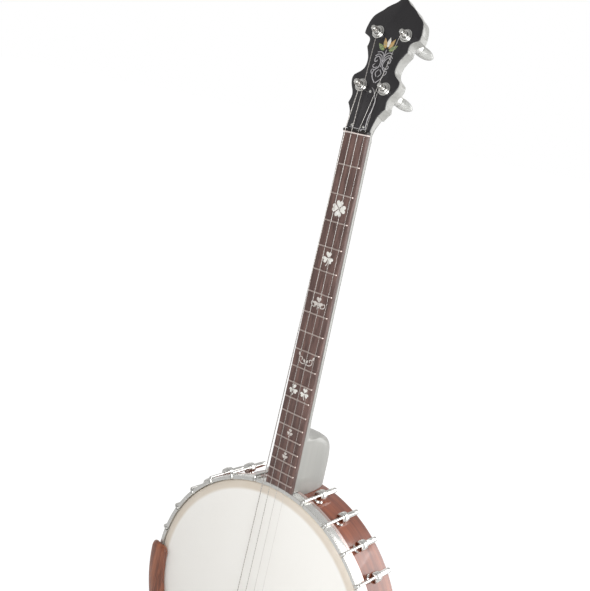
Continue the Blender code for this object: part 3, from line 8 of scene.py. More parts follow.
import logging
import math
from dataclasses import dataclass, field
from enum import Enum
from typing import Callable, Iterable, Sequence

import bmesh
import bpy
import numpy as np
from mathutils import Matrix, Vector


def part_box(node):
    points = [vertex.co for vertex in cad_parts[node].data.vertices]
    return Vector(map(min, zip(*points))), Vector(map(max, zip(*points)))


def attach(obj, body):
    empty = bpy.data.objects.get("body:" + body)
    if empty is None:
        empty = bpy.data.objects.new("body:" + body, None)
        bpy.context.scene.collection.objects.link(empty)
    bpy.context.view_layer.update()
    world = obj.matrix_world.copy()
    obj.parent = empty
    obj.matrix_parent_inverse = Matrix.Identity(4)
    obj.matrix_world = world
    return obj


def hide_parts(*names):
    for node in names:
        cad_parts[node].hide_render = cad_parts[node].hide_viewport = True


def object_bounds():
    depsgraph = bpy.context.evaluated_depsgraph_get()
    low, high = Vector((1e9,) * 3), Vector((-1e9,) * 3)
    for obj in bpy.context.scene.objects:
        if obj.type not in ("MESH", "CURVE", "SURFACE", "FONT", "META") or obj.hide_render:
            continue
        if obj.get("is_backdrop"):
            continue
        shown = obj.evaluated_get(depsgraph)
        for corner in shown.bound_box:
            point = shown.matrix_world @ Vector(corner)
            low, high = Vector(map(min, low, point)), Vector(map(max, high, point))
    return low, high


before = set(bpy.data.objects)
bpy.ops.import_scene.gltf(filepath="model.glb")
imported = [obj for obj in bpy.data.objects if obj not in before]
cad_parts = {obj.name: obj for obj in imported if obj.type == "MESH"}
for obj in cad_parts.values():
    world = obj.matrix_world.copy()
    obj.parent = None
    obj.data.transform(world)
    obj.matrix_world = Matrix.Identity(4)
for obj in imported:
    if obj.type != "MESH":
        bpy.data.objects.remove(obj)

MM = 0.001
SIDES = (-1.0, 1.0)
LOG = logging.getLogger("banjo")


# Shapes

@dataclass
class Shape:
    """Points in millimetres, the faces between them, and surface lengths for patterns."""

    points: np.ndarray
    faces: list[list[int]]
    lengths: np.ndarray | None = None

    def placed(self, rule: Callable[[np.ndarray], np.ndarray]) -> "Shape":
        """The same faces with every point put through a rule."""
        return Shape(rule(self.points), self.faces, self.lengths)

    def moved(self, x: float = 0.0, y: float = 0.0, z: float = 0.0) -> "Shape":
        """The shape shifted along its own axes."""
        return Shape(self.points + np.array([x, y, z]), self.faces, self.lengths)

    def spun(self, degrees: float) -> "Shape":
        """The shape turned about its own Z axis."""
        c, s = math.cos(math.radians(degrees)), math.sin(math.radians(degrees))
        turn = np.array([[c, s, 0.0], [-s, c, 0.0], [0.0, 0.0, 1.0]])
        return Shape(self.points @ turn, self.faces, self.lengths)

    def swapped(self, *axes: int) -> "Shape":
        """The shape with its axes taken in another order."""
        return Shape(self.points[:, list(axes)], self.faces, self.lengths)


def together(shapes: Iterable[Shape]) -> Shape:
    """Several shapes in one, each still a closed surface of its own."""
    points, faces, lengths, start = [], [], [], 0
    for shape in shapes:
        points.append(shape.points)
        faces += [[index + start for index in face] for face in shape.faces]
        lengths.append(shape.lengths if shape.lengths is not None else shape.points[:, :2] * 0.0)
        start += len(shape.points)
    return Shape(np.vstack(points), faces, np.vstack(lengths))


def grid(points: np.ndarray, caps: bool = False) -> Shape:
    """Skin a grid of points with quads, its last column joined to its first.

    The surface lengths are the mean distances run along the columns and along the rows.

    Args:
        points: rows by columns by three.
        caps: whether the first and last rows are filled.

    Returns:
        The surface, whose doubled seams are welded when its mesh is made.
    """
    points = np.concatenate([points, points[:, :1]], axis=1)
    rows, columns = points.shape[:2]
    index = np.arange(rows * columns).reshape(rows, columns)
    corners = (index[:-1, :-1], index[:-1, 1:], index[1:, 1:], index[1:, :-1])
    faces = np.stack(corners, axis=-1).reshape(-1, 4).tolist()
    if caps:
        faces += [index[0, :-1].tolist(), index[-1, :-1].tolist()]
    along = np.linalg.norm(np.diff(points, axis=1), axis=2).mean(axis=0)
    across = np.linalg.norm(np.diff(points, axis=0), axis=2).mean(axis=1)
    u, v = np.meshgrid(np.append(0.0, np.cumsum(along)), np.append(0.0, np.cumsum(across)))
    return Shape(points.reshape(-1, 3), faces, np.stack([u, v], axis=-1).reshape(-1, 2))


def unit(vectors: np.ndarray) -> np.ndarray:
    """Vectors scaled to length one."""
    return vectors / np.maximum(np.linalg.norm(vectors, axis=-1, keepdims=True), 1e-12)


def revolve(profile: np.ndarray | Sequence, steps: int, ring: bool = False) -> Shape:
    """Turn a profile about Z: point (r, h) at angle a goes to (r cos a, r sin a, h).

    Args:
        profile: (radius, height) points.
        steps: places round the turn.
        ring: whether the profile's last point meets its first.
    """
    rows = np.asarray(profile, float)
    if ring:
        rows = np.vstack([rows, rows[:1]])
    angle = np.arange(steps) * 2.0 * np.pi / steps
    radius, height = rows[:, :1], rows[:, 1:]
    points = np.stack([radius * np.cos(angle), radius * np.sin(angle),
                       height + 0.0 * angle], axis=-1)
    return grid(points)


def rounded(corners: Sequence, radius: float | Sequence[float], steps: int = 4,
            closed: bool = True) -> np.ndarray:
    """Round a polygon's corners: each is replaced by a parabola between its two sides.

    Args:
        corners: the polygon's points.
        radius: how far from a corner the rounding starts, one value or one for each corner.
        steps: stretches in each rounding.
        closed: whether the last point meets the first.
    """
    place = np.asarray(corners, float)
    back, ahead = np.roll(place, 1, 0) - place, np.roll(place, -1, 0) - place
    size = np.minimum(np.linalg.norm(back, axis=1), np.linalg.norm(ahead, axis=1))
    reach = np.minimum(np.broadcast_to(radius, size.shape), 0.48 * size)[:, None]
    start, end = place + unit(back) * reach, place + unit(ahead) * reach
    t = np.linspace(0.0, 1.0, steps + 1)[None, :, None]
    curve = (1 - t) ** 2 * start[:, None] + 2 * t * (1 - t) * place[:, None] + t ** 2 * end[:, None]
    if closed:
        return curve.reshape(-1, place.shape[1])
    return np.vstack([place[:1], curve[1:-1].reshape(-1, place.shape[1]), place[-1:]])


def smooth(points: Sequence, steps: int, corners: Iterable[int] = ()) -> np.ndarray:
    """Carry an open Hermite curve through points.

    Its direction at a point is the mean of the two chords', the shorter one counting more. At
    a corner each side keeps its own chord's direction.

    Args:
        points: the places it passes through.
        steps: stretches between two places.
        corners: numbers of the points where it turns sharply.
    """
    place = np.asarray(points, float)
    chord = np.roll(place, -1, 0) - place
    before = np.roll(chord, 1, 0)
    length = np.linalg.norm(chord, axis=1, keepdims=True)
    lead = unit(unit(chord) * np.roll(length, 1, 0) + unit(before) * length)
    trail = lead.copy()
    sharp = [*corners, 0, len(place) - 1]
    lead[sharp], trail[sharp] = unit(chord)[sharp], unit(before)[sharp]
    leave, arrive = lead * length, np.roll(trail, -1, 0) * length
    t = np.linspace(0.0, 1.0, steps, endpoint=False)[None, :, None]
    curve = ((2 * t ** 3 - 3 * t ** 2 + 1) * place[:, None] + (t ** 3 - 2 * t ** 2 + t) * leave[:, None]
             + (3 * t ** 2 - 2 * t ** 3) * np.roll(place, -1, 0)[:, None]
             + (t ** 3 - t ** 2) * arrive[:, None])
    return np.vstack([curve[:-1].reshape(-1, place.shape[1]), place[-1:]])


def mirrored(half: Sequence) -> np.ndarray:
    """A closed outline from its right half, mirrored about x = 0."""
    right = np.asarray(half, float)
    left = right[::-1] * np.array([-1.0, 1.0])
    return np.vstack([right, left[np.abs(left[:, 0]) > 1e-9]])


def inset(outline: np.ndarray, distance: float) -> np.ndarray:
    """Draw a closed outline in along its normals.

    Args:
        outline: points in order.
        distance: how far, outward if negative.
    """
    run = unit(np.roll(outline, -1, 0) - np.roll(outline, 1, 0))
    area = np.sum(outline[:, 0] * np.roll(outline[:, 1], -1) - np.roll(outline[:, 0], -1) * outline[:, 1])
    inward = np.stack([-run[:, 1], run[:, 0]], axis=1) * math.copysign(1.0, area)
    return outline + inward * distance


def slab(outline: np.ndarray, low: float, high: float, edge: float, steps: int = 4) -> Shape:
    """Flat plate in XY with rounded edges.

    At angle a of an edge, from 0 to 90 degrees, the outline is drawn in by edge * (1 - sin a)
    and lies edge * (1 - cos a) from the face.

    Args:
        outline: points in order.
        low: height of its lower face.
        high: height of its upper face.
        edge: rounding of both edges.
        steps: stretches in each rounding.
    """
    angle = np.linspace(0.0, np.pi / 2.0, steps + 1)
    draw, rise = edge * (1.0 - np.sin(angle)), edge * (1.0 - np.cos(angle))
    draws = np.concatenate([draw, draw[::-1]])
    levels = np.concatenate([low + rise, high - rise[::-1]])
    rings = np.stack([inset(outline, value) for value in draws])
    height = np.broadcast_to(levels[:, None, None], (*rings.shape[:2], 1))
    return grid(np.concatenate([rings, height], axis=2), caps=True)


def tube(path: Sequence, radius: float | np.ndarray, sides: int = 12,
         hint: Sequence[float] = (0.0, 1.0, 0.0)) -> Shape:
    """Carry a circle along a path.

    The circle's first axis is the hint with its share along the path taken off, and its second
    is the cross product of the path's direction with the first.

    Args:
        path: the centre line.
        radius: one value or one for each point.
        sides: points round the circle.
        hint: a direction that the path never runs in.
    """
    line = np.asarray(path, float)
    forward = unit(np.gradient(line, axis=0))
    toward = np.asarray(hint, float)
    first = unit(toward - (forward @ toward)[:, None] * forward)
    second = np.cross(forward, first)
    angle = np.arange(sides) * 2.0 * np.pi / sides
    size = np.broadcast_to(radius, (len(line),))[:, None, None]
    ring = np.cos(angle)[None, :, None] * first[:, None] + np.sin(angle)[None, :, None] * second[:, None]
    return grid(line[:, None] + size * ring, caps=True)


def block(low: Sequence[float], high: Sequence[float], edge: float = 0.3) -> Shape:
    """Rounded block between two corners."""
    outline = rounded([(low[0], low[1]), (high[0], low[1]), (high[0], high[1]), (low[0], high[1])],
                      edge, 3)
    return slab(outline, low[2], high[2], 0.5 * edge, 2)


def gear(teeth: int, radius: float, low: float, high: float) -> Shape:
    """Spur gear about Z: at angle a its radius is radius * (0.86 + 0.14 * tanh(3 sin(teeth a)))."""
    angle = np.linspace(0.0, 2.0 * np.pi, teeth * 12, endpoint=False)
    reach = radius * (0.86 + 0.14 * np.tanh(3.0 * np.sin(teeth * angle)))
    return slab(np.stack([reach * np.cos(angle), reach * np.sin(angle)], axis=1), low, high, 0.1, 1)


def turned(corners: Sequence, radii: float | Sequence[float], steps: int, places: int,
           ring: bool = False) -> Shape:
    """Revolve a profile whose corners are rounded.

    Args:
        corners: (radius, height) points, which run from the axis out and back but in a ring.
        radii: how far from each corner its rounding starts.
        steps: stretches in each rounding.
        places: places round the turn.
        ring: whether the profile's last point meets its first.
    """
    return revolve(rounded(corners, radii, steps, closed=ring), places, ring)


def peg(radius: float, low: float, high: float, places: int, edge: float = 0.4) -> Shape:
    """Plain round peg about Z with rounded edges."""
    return turned([(0.0, low), (radius, low), (radius, high), (0.0, high)],
                  [0.0, edge, edge, 0.0], 4, places)


# Meshes and pieces

def mesh_of(shape: Shape, name: str) -> bpy.types.Mesh:
    """Make a welded mesh in metres with its faces outward and its surface lengths as a UV map."""
    mesh = bpy.data.meshes.new(name)
    mesh.from_pydata((shape.points * MM).tolist(), [], shape.faces)
    if shape.lengths is not None:
        layer = mesh.uv_layers.new(name="surface_lengths")
        corner = np.empty(len(mesh.loops), np.int32)
        mesh.loops.foreach_get("vertex_index", corner)
        layer.data.foreach_set("uv", (shape.lengths[corner] * MM).astype(np.float32).ravel())
    shell = bmesh.new()
    shell.from_mesh(mesh)
    bmesh.ops.remove_doubles(shell, verts=shell.verts, dist=2e-6)
    bmesh.ops.dissolve_degenerate(shell, edges=shell.edges, dist=1e-7)
    bmesh.ops.recalc_face_normals(shell, faces=shell.faces)
    shell.to_mesh(mesh)
    shell.free()
    return mesh


def combined(mesh: bpy.types.Mesh, other: bpy.types.Mesh, operation: str) -> bpy.types.Mesh:
    """Join two solids, or cut the second out of the first.

    Args:
        mesh: the first.
        other: the second.
        operation: UNION or DIFFERENCE.

    Raises:
        ValueError: nothing is left of the first.
    """
    first = bpy.data.objects.new("first", mesh)
    second = bpy.data.objects.new("second", other)
    for item in (first, second):
        bpy.context.scene.collection.objects.link(item)
    boolean = first.modifiers.new("boolean", "BOOLEAN")
    boolean.operation = operation
    boolean.object = second
    bpy.context.view_layer.update()
    graph = bpy.context.evaluated_depsgraph_get()
    made = bpy.data.meshes.new_from_object(first.evaluated_get(graph))
    for item in (first, second):
        bpy.data.objects.remove(item, do_unlink=True)
    if not made.polygons:
        raise ValueError(f"{operation} with {other.name} left nothing of {mesh.name}")
    return made


def piece(name: str, shape: Shape, finish: "Finish", node: str,
          body: str = "banjo", joins: Sequence[Shape] = (), cuts: Sequence[Shape] = (),
          sharp: float = 35.0) -> None:
    """Make one finished piece that rides on a body and stands for a node of the model.

    Args:
        name: the piece's own name.
        shape: its surface in millimetres, in place.
        finish: what its surface is.
        node: the model's node that it stands for.
        body: the body that it moves with.
        joins: shapes united with it.
        cuts: shapes cut out of it.
        sharp: degrees between faces past which an edge stays sharp.
    """
    mesh = mesh_of(shape, name)
    for other in joins:
        mesh = combined(mesh, mesh_of(other, "join"), "UNION")
    for other in cuts:
        mesh = combined(mesh, mesh_of(other, "cut"), "DIFFERENCE")
    mesh.name = name
    mesh.materials.clear()
    mesh.materials.append(finish.material())
    mesh.shade_smooth()
    mesh.set_sharp_from_angle(angle=math.radians(sharp))
    made = bpy.data.objects.new(name, mesh)
    bpy.context.scene.collection.objects.link(made)
    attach(made, body)
    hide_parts(node)
    LOG.info("%s: %d faces on %s", name, len(mesh.polygons), body)


# Finishes

def linear(code: str) -> tuple[float, float, float, float]:
    """Linear colour of an sRGB hex value such as #8a5a45."""
    values = np.array([int(code[i:i + 2], 16) for i in (1, 3, 5)]) / 255.0
    light = np.where(values <= 0.04045, values / 12.92, ((values + 0.055) / 1.055) ** 2.4)
    return (*light.tolist(), 1.0)


def add(tree: bpy.types.NodeTree, kind: str, inputs: dict | None = None,
        **settings: object) -> bpy.types.Node:
    """Add a shader node, set its attributes, and fill or link its inputs by name or number.

    Args:
        tree: where it goes.
        kind: its type's name after ShaderNode.
        inputs: a value or a socket for each input's name or number.
        settings: the node's own attributes.

    Returns:
        The node.
    """
    made = tree.nodes.new("ShaderNode" + kind)
    for name, value in settings.items():
        setattr(made, name, value)
    for key, value in (inputs or {}).items():
        if isinstance(value, bpy.types.NodeSocket):
            tree.links.new(value, made.inputs[key])
        else:
            made.inputs[key].default_value = value
    return made


MATERIALS: dict[str, bpy.types.Material] = {}


class Run(Enum):
    """Which way a pattern is drawn out."""

    ACROSS = "along X"
    UP = "along Z"
    AROUND = "along the surface's first length"


@dataclass(frozen=True)
class Finish:
    """A surface with one colour, a faint cloudiness of its gloss and a fine unevenness.

    Args:
        name: the material's common name and how it was made.
        colour: sRGB hex value.
        roughness: of the surface under any coat.
        metallic: 1 for bare or plated metal.
        coat: share of clear lacquer on top.
        coat_roughness: of that lacquer.
        cloud: size in millimetres of the patches whose gloss differs.
        uneven: depth in millimetres of the surface's own unevenness.
        spread: share by which the patches' roughness differs from the surface's.
    """

    name: str
    colour: str
    roughness: float
    metallic: float = 0.0
    coat: float = 0.0
    coat_roughness: float = 0.08
    cloud: float = 12.0
    uneven: float = 0.004
    spread: float = 0.25

    def material(self) -> bpy.types.Material:
        """The finish as a material, made once."""
        if self.name not in MATERIALS:
            made = bpy.data.materials.new(self.name)
            made.use_nodes = True
            shader = made.node_tree.nodes["Principled BSDF"]
            shader.inputs["Base Color"].default_value = linear(self.colour)
            shader.inputs["Roughness"].default_value = self.roughness
            shader.inputs["Metallic"].default_value = self.metallic
            shader.inputs["Coat Weight"].default_value = self.coat
            shader.inputs["Coat Roughness"].default_value = self.coat_roughness
            self.dress(made.node_tree, shader)
            MATERIALS[self.name] = made
        return MATERIALS[self.name]

    def noise(self, tree: bpy.types.NodeTree, size: float, run: Run | None = None,
              stretch: float = 1.0, detail: float = 3.0) -> bpy.types.NodeSocket:
        """Noise from 0 to 1 whose features are size millimetres, drawn out by stretch.

        Args:
            tree: the material's nodes.
            size: millimetres across a feature.
            run: which way the features are drawn out.
            stretch: how many times.
            detail: octaves of finer noise.

        Returns:
            The value's socket.
        """
        source = "UV" if run is Run.AROUND else "Object"
        where = add(tree, "TexCoord").outputs[source]
        scale = [1000.0 / size] * 3
        if run is not None:
            scale[2 if run is Run.UP else 0] /= stretch
        drawn = add(tree, "Mapping", {"Vector": where, "Scale": scale}).outputs[0]
        return add(tree, "TexNoise", {"Vector": drawn, "Scale": 1.0, "Detail": detail,
                                      "Roughness": 0.6}).outputs[0]

    def tone(self, tree: bpy.types.NodeTree, pattern: bpy.types.NodeSocket, low: float,
             high: float, first: object, second: object, most: float = 1.0) -> bpy.types.NodeSocket:
        """Colour that leaves the first for the second as a pattern's value runs from low to high.

        Args:
            tree: the material's nodes.
            pattern: the value that leads.
            low: where the second colour starts.
            high: where it has its whole share.
            first: hex value or socket.
            second: hex value or socket.
            most: the second colour's whole share.

        Returns:
            The colour's socket.
        """
        share = add(tree, "MapRange", {"Value": pattern, "From Min": low, "From Max": high,
                                       "To Min": 0.0, "To Max": most}).outputs[0]
        ends = [linear(end) if isinstance(end, str) else end for end in (first, second)]
        return add(tree, "Mix", {0: share, 6: ends[0], 7: ends[1]}, data_type="RGBA").outputs[2]

    def shine(self, tree: bpy.types.NodeTree, shader: bpy.types.Node,
              pattern: bpy.types.NodeSocket, stretch: tuple[float, float],
              start: float, end: float) -> None:
        """Let the roughness run from start to end over a stretch of a pattern's value.

        Args:
            tree: the material's nodes.
            shader: what gets the roughness.
            pattern: the value that leads.
            stretch: its values at the start and the end.
            start: the first roughness.
            end: the last roughness.
        """
        rough = add(tree, "MapRange", {"Value": pattern, "From Min": stretch[0],
                                       "From Max": stretch[1], "To Min": start, "To Max": end})
        tree.links.new(rough.outputs[0], shader.inputs["Roughness"])

    def bumped(self, tree: bpy.types.NodeTree, shader: bpy.types.Node,
               height: bpy.types.NodeSocket, depth: float) -> None:
        """Give the shader a relief of a depth in millimetres."""
        relief = add(tree, "Bump", {"Height": height, "Strength": 1.0, "Distance": depth * MM})
        tree.links.new(relief.outputs[0], shader.inputs["Normal"])

    def dress(self, tree: bpy.types.NodeTree, shader: bpy.types.Node) -> None:
        """Cloudy gloss and a faint unevenness."""
        self.shine(tree, shader, self.noise(tree, self.cloud), (0.3, 0.7),
                   self.roughness * (1.0 - self.spread), self.roughness * (1.0 + self.spread))
        self.bumped(tree, shader, self.noise(tree, self.cloud * 0.35), self.uneven)


@dataclass(frozen=True)
class Wood(Finish):
    """Planed wood: fibres of two tones, broader streaks of a third, and dark open pores.

    Args:
        dark: tone of the darker fibres.
        streak: tone of the broad streaks.
        fibre: width of a fibre bundle in millimetres.
        length: how much longer than wide it is.
        band: width of a broad streak in millimetres.
        pores: how strongly the pores show.
        run: which way the grain runs.
    """

    dark: str = "#4c3020"
    streak: str = "#a0603c"
    fibre: float = 0.7
    length: float = 30.0
    band: float = 9.0
    pores: float = 0.5
    run: Run = Run.UP

    def dress(self, tree: bpy.types.NodeTree, shader: bpy.types.Node) -> None:
        """Tones along the grain, pores as short dark lines, and relief from both."""
        fibres = self.noise(tree, self.fibre, self.run, self.length, 4.0)
        bands = self.noise(tree, self.band, self.run, self.length * 0.3, 2.0)
        pits = self.noise(tree, self.fibre * 0.55, self.run, self.length * 0.5, 1.0)
        tone = self.tone(tree, fibres, 0.36, 0.64, self.dark, self.colour)
        tone = self.tone(tree, bands, 0.42, 0.66, tone, self.streak)
        tone = self.tone(tree, pits, 0.60, 0.70, tone, self.dark, self.pores)
        tree.links.new(tone, shader.inputs["Base Color"])
        self.shine(tree, shader, fibres, (0.3, 0.7), self.roughness * 1.15, self.roughness * 0.85)
        self.bumped(tree, shader, pits, -self.uneven)


@dataclass(frozen=True)
class Shell(Finish):
    """Mother-of-pearl or abalone: facets of a few tones that change along soft folds.

    Args:
        tones: hex values that the folds pass through.
        fold: width of a fold in millimetres.
    """

    tones: tuple[str, ...] = ("#e9e8e0", "#f6f5f0", "#cfd4cf")
    fold: float = 2.4

    def dress(self, tree: bpy.types.NodeTree, shader: bpy.types.Node) -> None:
        """Pass through the tones by warped noise, and ripple the surface a little."""
        folds = self.noise(tree, self.fold, Run.ACROSS, 1.8, 2.0)
        tone: object = self.tones[0]
        for number, following in enumerate(self.tones[1:]):
            start = 0.32 + 0.36 * number / (len(self.tones) - 1)
            tone = self.tone(tree, folds, start, start + 0.3 / (len(self.tones) - 1), tone, following)
        tree.links.new(tone, shader.inputs["Base Color"])
        self.bumped(tree, shader, folds, self.uneven)


@dataclass(frozen=True)
class CoatedFilm(Finish):
    """Polyester head: a sprayed white coat inside a bare band that shows the ring below.

    Args:
        bare: tone of the uncoated band.
        shade: its darker tone.
        coat_radius: where the spray ends, in millimetres.
        feather: width over which it thins out.
        centre: height of the head's middle in millimetres.
    """

    bare: str = "#e6ddd2"
    shade: str = "#d8ccba"
    coat_radius: float = 142.5
    feather: float = 1.6
    centre: float = -550.9

    def dress(self, tree: bpy.types.NodeTree, shader: bpy.types.Node) -> None:
        """Colour by the distance from the middle, and the spray's fine orange peel."""
        where = add(tree, "TexCoord").outputs["Object"]
        local = add(tree, "Mapping", {"Vector": where, "Location": (0.0, 0.0, -self.centre * MM),
                                      "Scale": (1.0, 0.0, 1.0)}).outputs[0]
        radius = add(tree, "VectorMath", {0: local}, operation="LENGTH").outputs["Value"]
        low, high = (self.coat_radius - self.feather) * MM, (self.coat_radius + self.feather) * MM
        spray = self.tone(tree, self.noise(tree, 60.0), 0.0, 1.0, "#f7f5f0", self.colour)
        ring = self.tone(tree, self.noise(tree, 25.0), 0.0, 1.0, self.bare, self.shade)
        tree.links.new(self.tone(tree, radius, low, high, spray, ring), shader.inputs["Base Color"])
        self.shine(tree, shader, radius, (low, high), self.roughness, 0.3)
        self.bumped(tree, shader, self.noise(tree, 0.9), self.uneven)


@dataclass(frozen=True)
class DrawnMetal(Finish):
    """Drawn or brushed metal with fine lines along one direction.

    Args:
        run: which way the lines go.
        line: width of a line in millimetres, coarser than the real one so that it shows.
    """

    run: Run = Run.UP
    line: float = 0.3

    def dress(self, tree: bpy.types.NodeTree, shader: bpy.types.Node) -> None:
        """Lines in the gloss and a slight relief across them."""
        lines = self.noise(tree, self.line, self.run, 60.0, 2.0)
        self.shine(tree, shader, lines, (0.3, 0.7), self.roughness * 0.7, self.roughness * 1.4)
        self.bumped(tree, shader, lines, self.uneven)


@dataclass(frozen=True)
class WoundWire(Finish):
    """String wrapped in round wire: a wave along the string, coarser than the real wrap, with painted shade
    between its turns.

    Args:
        pitch: millimetres from one turn of the wrap to the next.
        gap: painted shade between the turns, a darker tone of the wire.
    """

    pitch: float = 0.5
    # Painted shade: the wire's colour darkened where its turns meet
    gap: str = "#bab6b1"

    def dress(self, tree: bpy.types.NodeTree, shader: bpy.types.Node) -> None:
        """Ridges across the string's length, with painted shade in the grooves between them."""
        where = add(tree, "TexCoord").outputs["UV"]
        wave = add(tree, "TexWave", {"Vector": where, "Scale": 1000.0 / self.pitch / 20.0},
                   bands_direction="Y").outputs["Fac"]
        # Painted shade in the grooves between the turns, following the ridges' wave
        tone = self.tone(tree, wave, 0.0, 1.0, self.gap, self.colour)
        tree.links.new(tone, shader.inputs["Base Color"])
        self.bumped(tree, shader, wave, self.uneven)


# Silver-grey lacquer over maple: satin body colour with a clear top coat that streaks softly
NECK_LACQUER = Wood("grey_lacquered_maple", "#a9a9a4", 0.42, coat=0.7, coat_roughness=0.12,
                    dark="#a6a6a2", streak="#acaca7", fibre=1.2, length=40.0, band=14.0,
                    pores=0.02, uneven=0.002)
# Piano-black lacquer on the headstock's face: deep and even, under a softly glossy coat
BLACK_GLOSS = Finish("black_lacquered_veneer", "#1b191d", 0.34, coat=0.6, coat_roughness=0.16,
                     cloud=20.0, uneven=0.006)
# Engraving laminate of the truss rod cover: black face, white core that shows at its bevel
COVER_BLACK = Finish("black_laminated_plastic", "#2a282b", 0.28, coat=0.4, cloud=9.0)
COVER_WHITE = Finish("white_plastic_ply", "#e6e4e6", 0.35, cloud=6.0)
# Oiled rosewood, dried pale: grey-brown, open pores, hardly any shine
ROSEWOOD = Wood("oiled_rosewood", "#6b5550", 0.46, dark="#4c3935", streak="#795e57", fibre=0.8,
                length=26.0, band=5.0, pores=0.65, uneven=0.03)
# Gloss-lacquered mahogany bent round the rim: red-brown ribbons under a thick clear coat
RIM_MAHOGANY = Wood("lacquered_mahogany", "#8f421e", 0.4, coat=1.0, coat_roughness=0.1,
                    dark="#702e12", streak="#a3532c", fibre=0.9, length=30.0, band=12.0,
                    pores=0.35, uneven=0.006, run=Run.AROUND)
# Walnut bent and lacquered: warm brown with darker streaks, and a clear gloss
ARMREST_WALNUT = Wood("lacquered_walnut", "#935233", 0.38, coat=0.8, coat_roughness=0.12,
                      dark="#5f2f1b", streak="#a76342", fibre=0.9, length=26.0, band=8.0,
                      pores=0.4, uneven=0.01)
# Planed maple and polished ebony of the bridge: pale with fine lines, and nearly black
BRIDGE_MAPLE = Wood("planed_maple", "#d2a874", 0.45, dark="#b98c58", streak="#deb888", fibre=0.6,
                    length=22.0, band=5.0, pores=0.2, uneven=0.01, run=Run.ACROSS)
EBONY = Wood("polished_ebony", "#241c19", 0.3, dark="#120d0c", streak="#33261f", fibre=0.5,
             length=24.0, band=4.0, pores=0.3, uneven=0.008, run=Run.ACROSS)
# Moulded composite and polished bone of the nut: dull black, and warm white with a low shine
NUT_BLACK = Finish("black_nut_composite", "#241d1b", 0.38, cloud=4.0)
BONE = Finish("polished_bone", "#f0e2dc", 0.32, cloud=3.0, uneven=0.01)
# Bright chrome plate: mirror-like, with polishing haze that breaks the reflections up
CHROME = Finish("chrome_plated_brass", "#ecece9", 0.12, metallic=1.0, cloud=7.0, uneven=0.006)
CHROME_HOOP = Finish("chrome_plated_hoop", "#e2e2df", 0.24, metallic=0.75, cloud=30.0, uneven=0.01)
# Drawn fret wire, rod and band: soft lines along them, drawn coarser than real to show
FRET_NICKEL = DrawnMetal("nickel_silver_fret_wire", "#dccdc7", 0.34, metallic=1.0,
                         run=Run.ACROSS, line=0.4, uneven=0.003)
STEEL = DrawnMetal("drawn_steel", "#b9b9bb", 0.3, metallic=1.0, line=0.5, uneven=0.004)
# Turned brass, bright yellow where it is cut
BRASS = Finish("turned_brass", "#c9a45c", 0.22, metallic=1.0, cloud=10.0)
ALUMINIUM = DrawnMetal("rolled_aluminium_band", "#d9c6c1", 0.34, metallic=1.0,
                       run=Run.AROUND, line=0.5, uneven=0.004)
# Clear polyester with a sprayed coat: warm white and satin, with a creamy bare edge
HEAD_FILM = CoatedFilm("coated_polyester_film", "#faf9f5", 0.5, uneven=0.01)
# Cut shell, ground flat and polished: folds of light and dark under a clear shine
PEARL = Shell("mother_of_pearl", "#eeece6", 0.2, coat=0.5, fold=2.2,
              tones=("#d9d8d2", "#f4f2ec", "#e6e6e0", "#ffffff"))
GREY_PEARL = Shell("grey_mother_of_pearl", "#d5cfca", 0.22, coat=0.5, fold=1.8,
                   tones=("#b9b3ae", "#ded8d2", "#c8c2bd"))
ABALONE = Shell("red_abalone_shell", "#c79a62", 0.2, coat=0.6, fold=1.6,
                tones=("#c98d4a", "#b9a868", "#d0a472", "#a8a080"))
GREEN_SHELL = Shell("green_abalone_shell", "#86945c", 0.2, coat=0.6, fold=1.6,
                    tones=("#7f8f4e", "#9aa268", "#6c8a66", "#a9a878"))
# Silver wire hammered into the veneer: pale grey lines
SILVER_WIRE = Finish("inlaid_silver_wire", "#d2d0d4", 0.3, metallic=0.6, cloud=2.0)
# Cast pearloid of the buttons: broad cloudy folds of grey
BUTTON_PEARL = Shell("pearloid_button", "#c6c7c3", 0.24, coat=0.6, fold=5.0,
                     tones=("#b8b9b5", "#d2d3d0", "#c4c5c1"), uneven=0.01)
# Plain and wound strings: bright steel wire, the thicker two ribbed by their wrap, with painted shade in its
# grooves
PLAIN_STRING = DrawnMetal("plain_string_steel", "#dedbd7", 0.3, metallic=1.0, run=Run.AROUND,
                          line=0.1, uneven=0.001)
WOUND_STRING = WoundWire("nickel_wound_string", "#dcd8d4", 0.34, metallic=1.0, uneven=0.012)


# Places

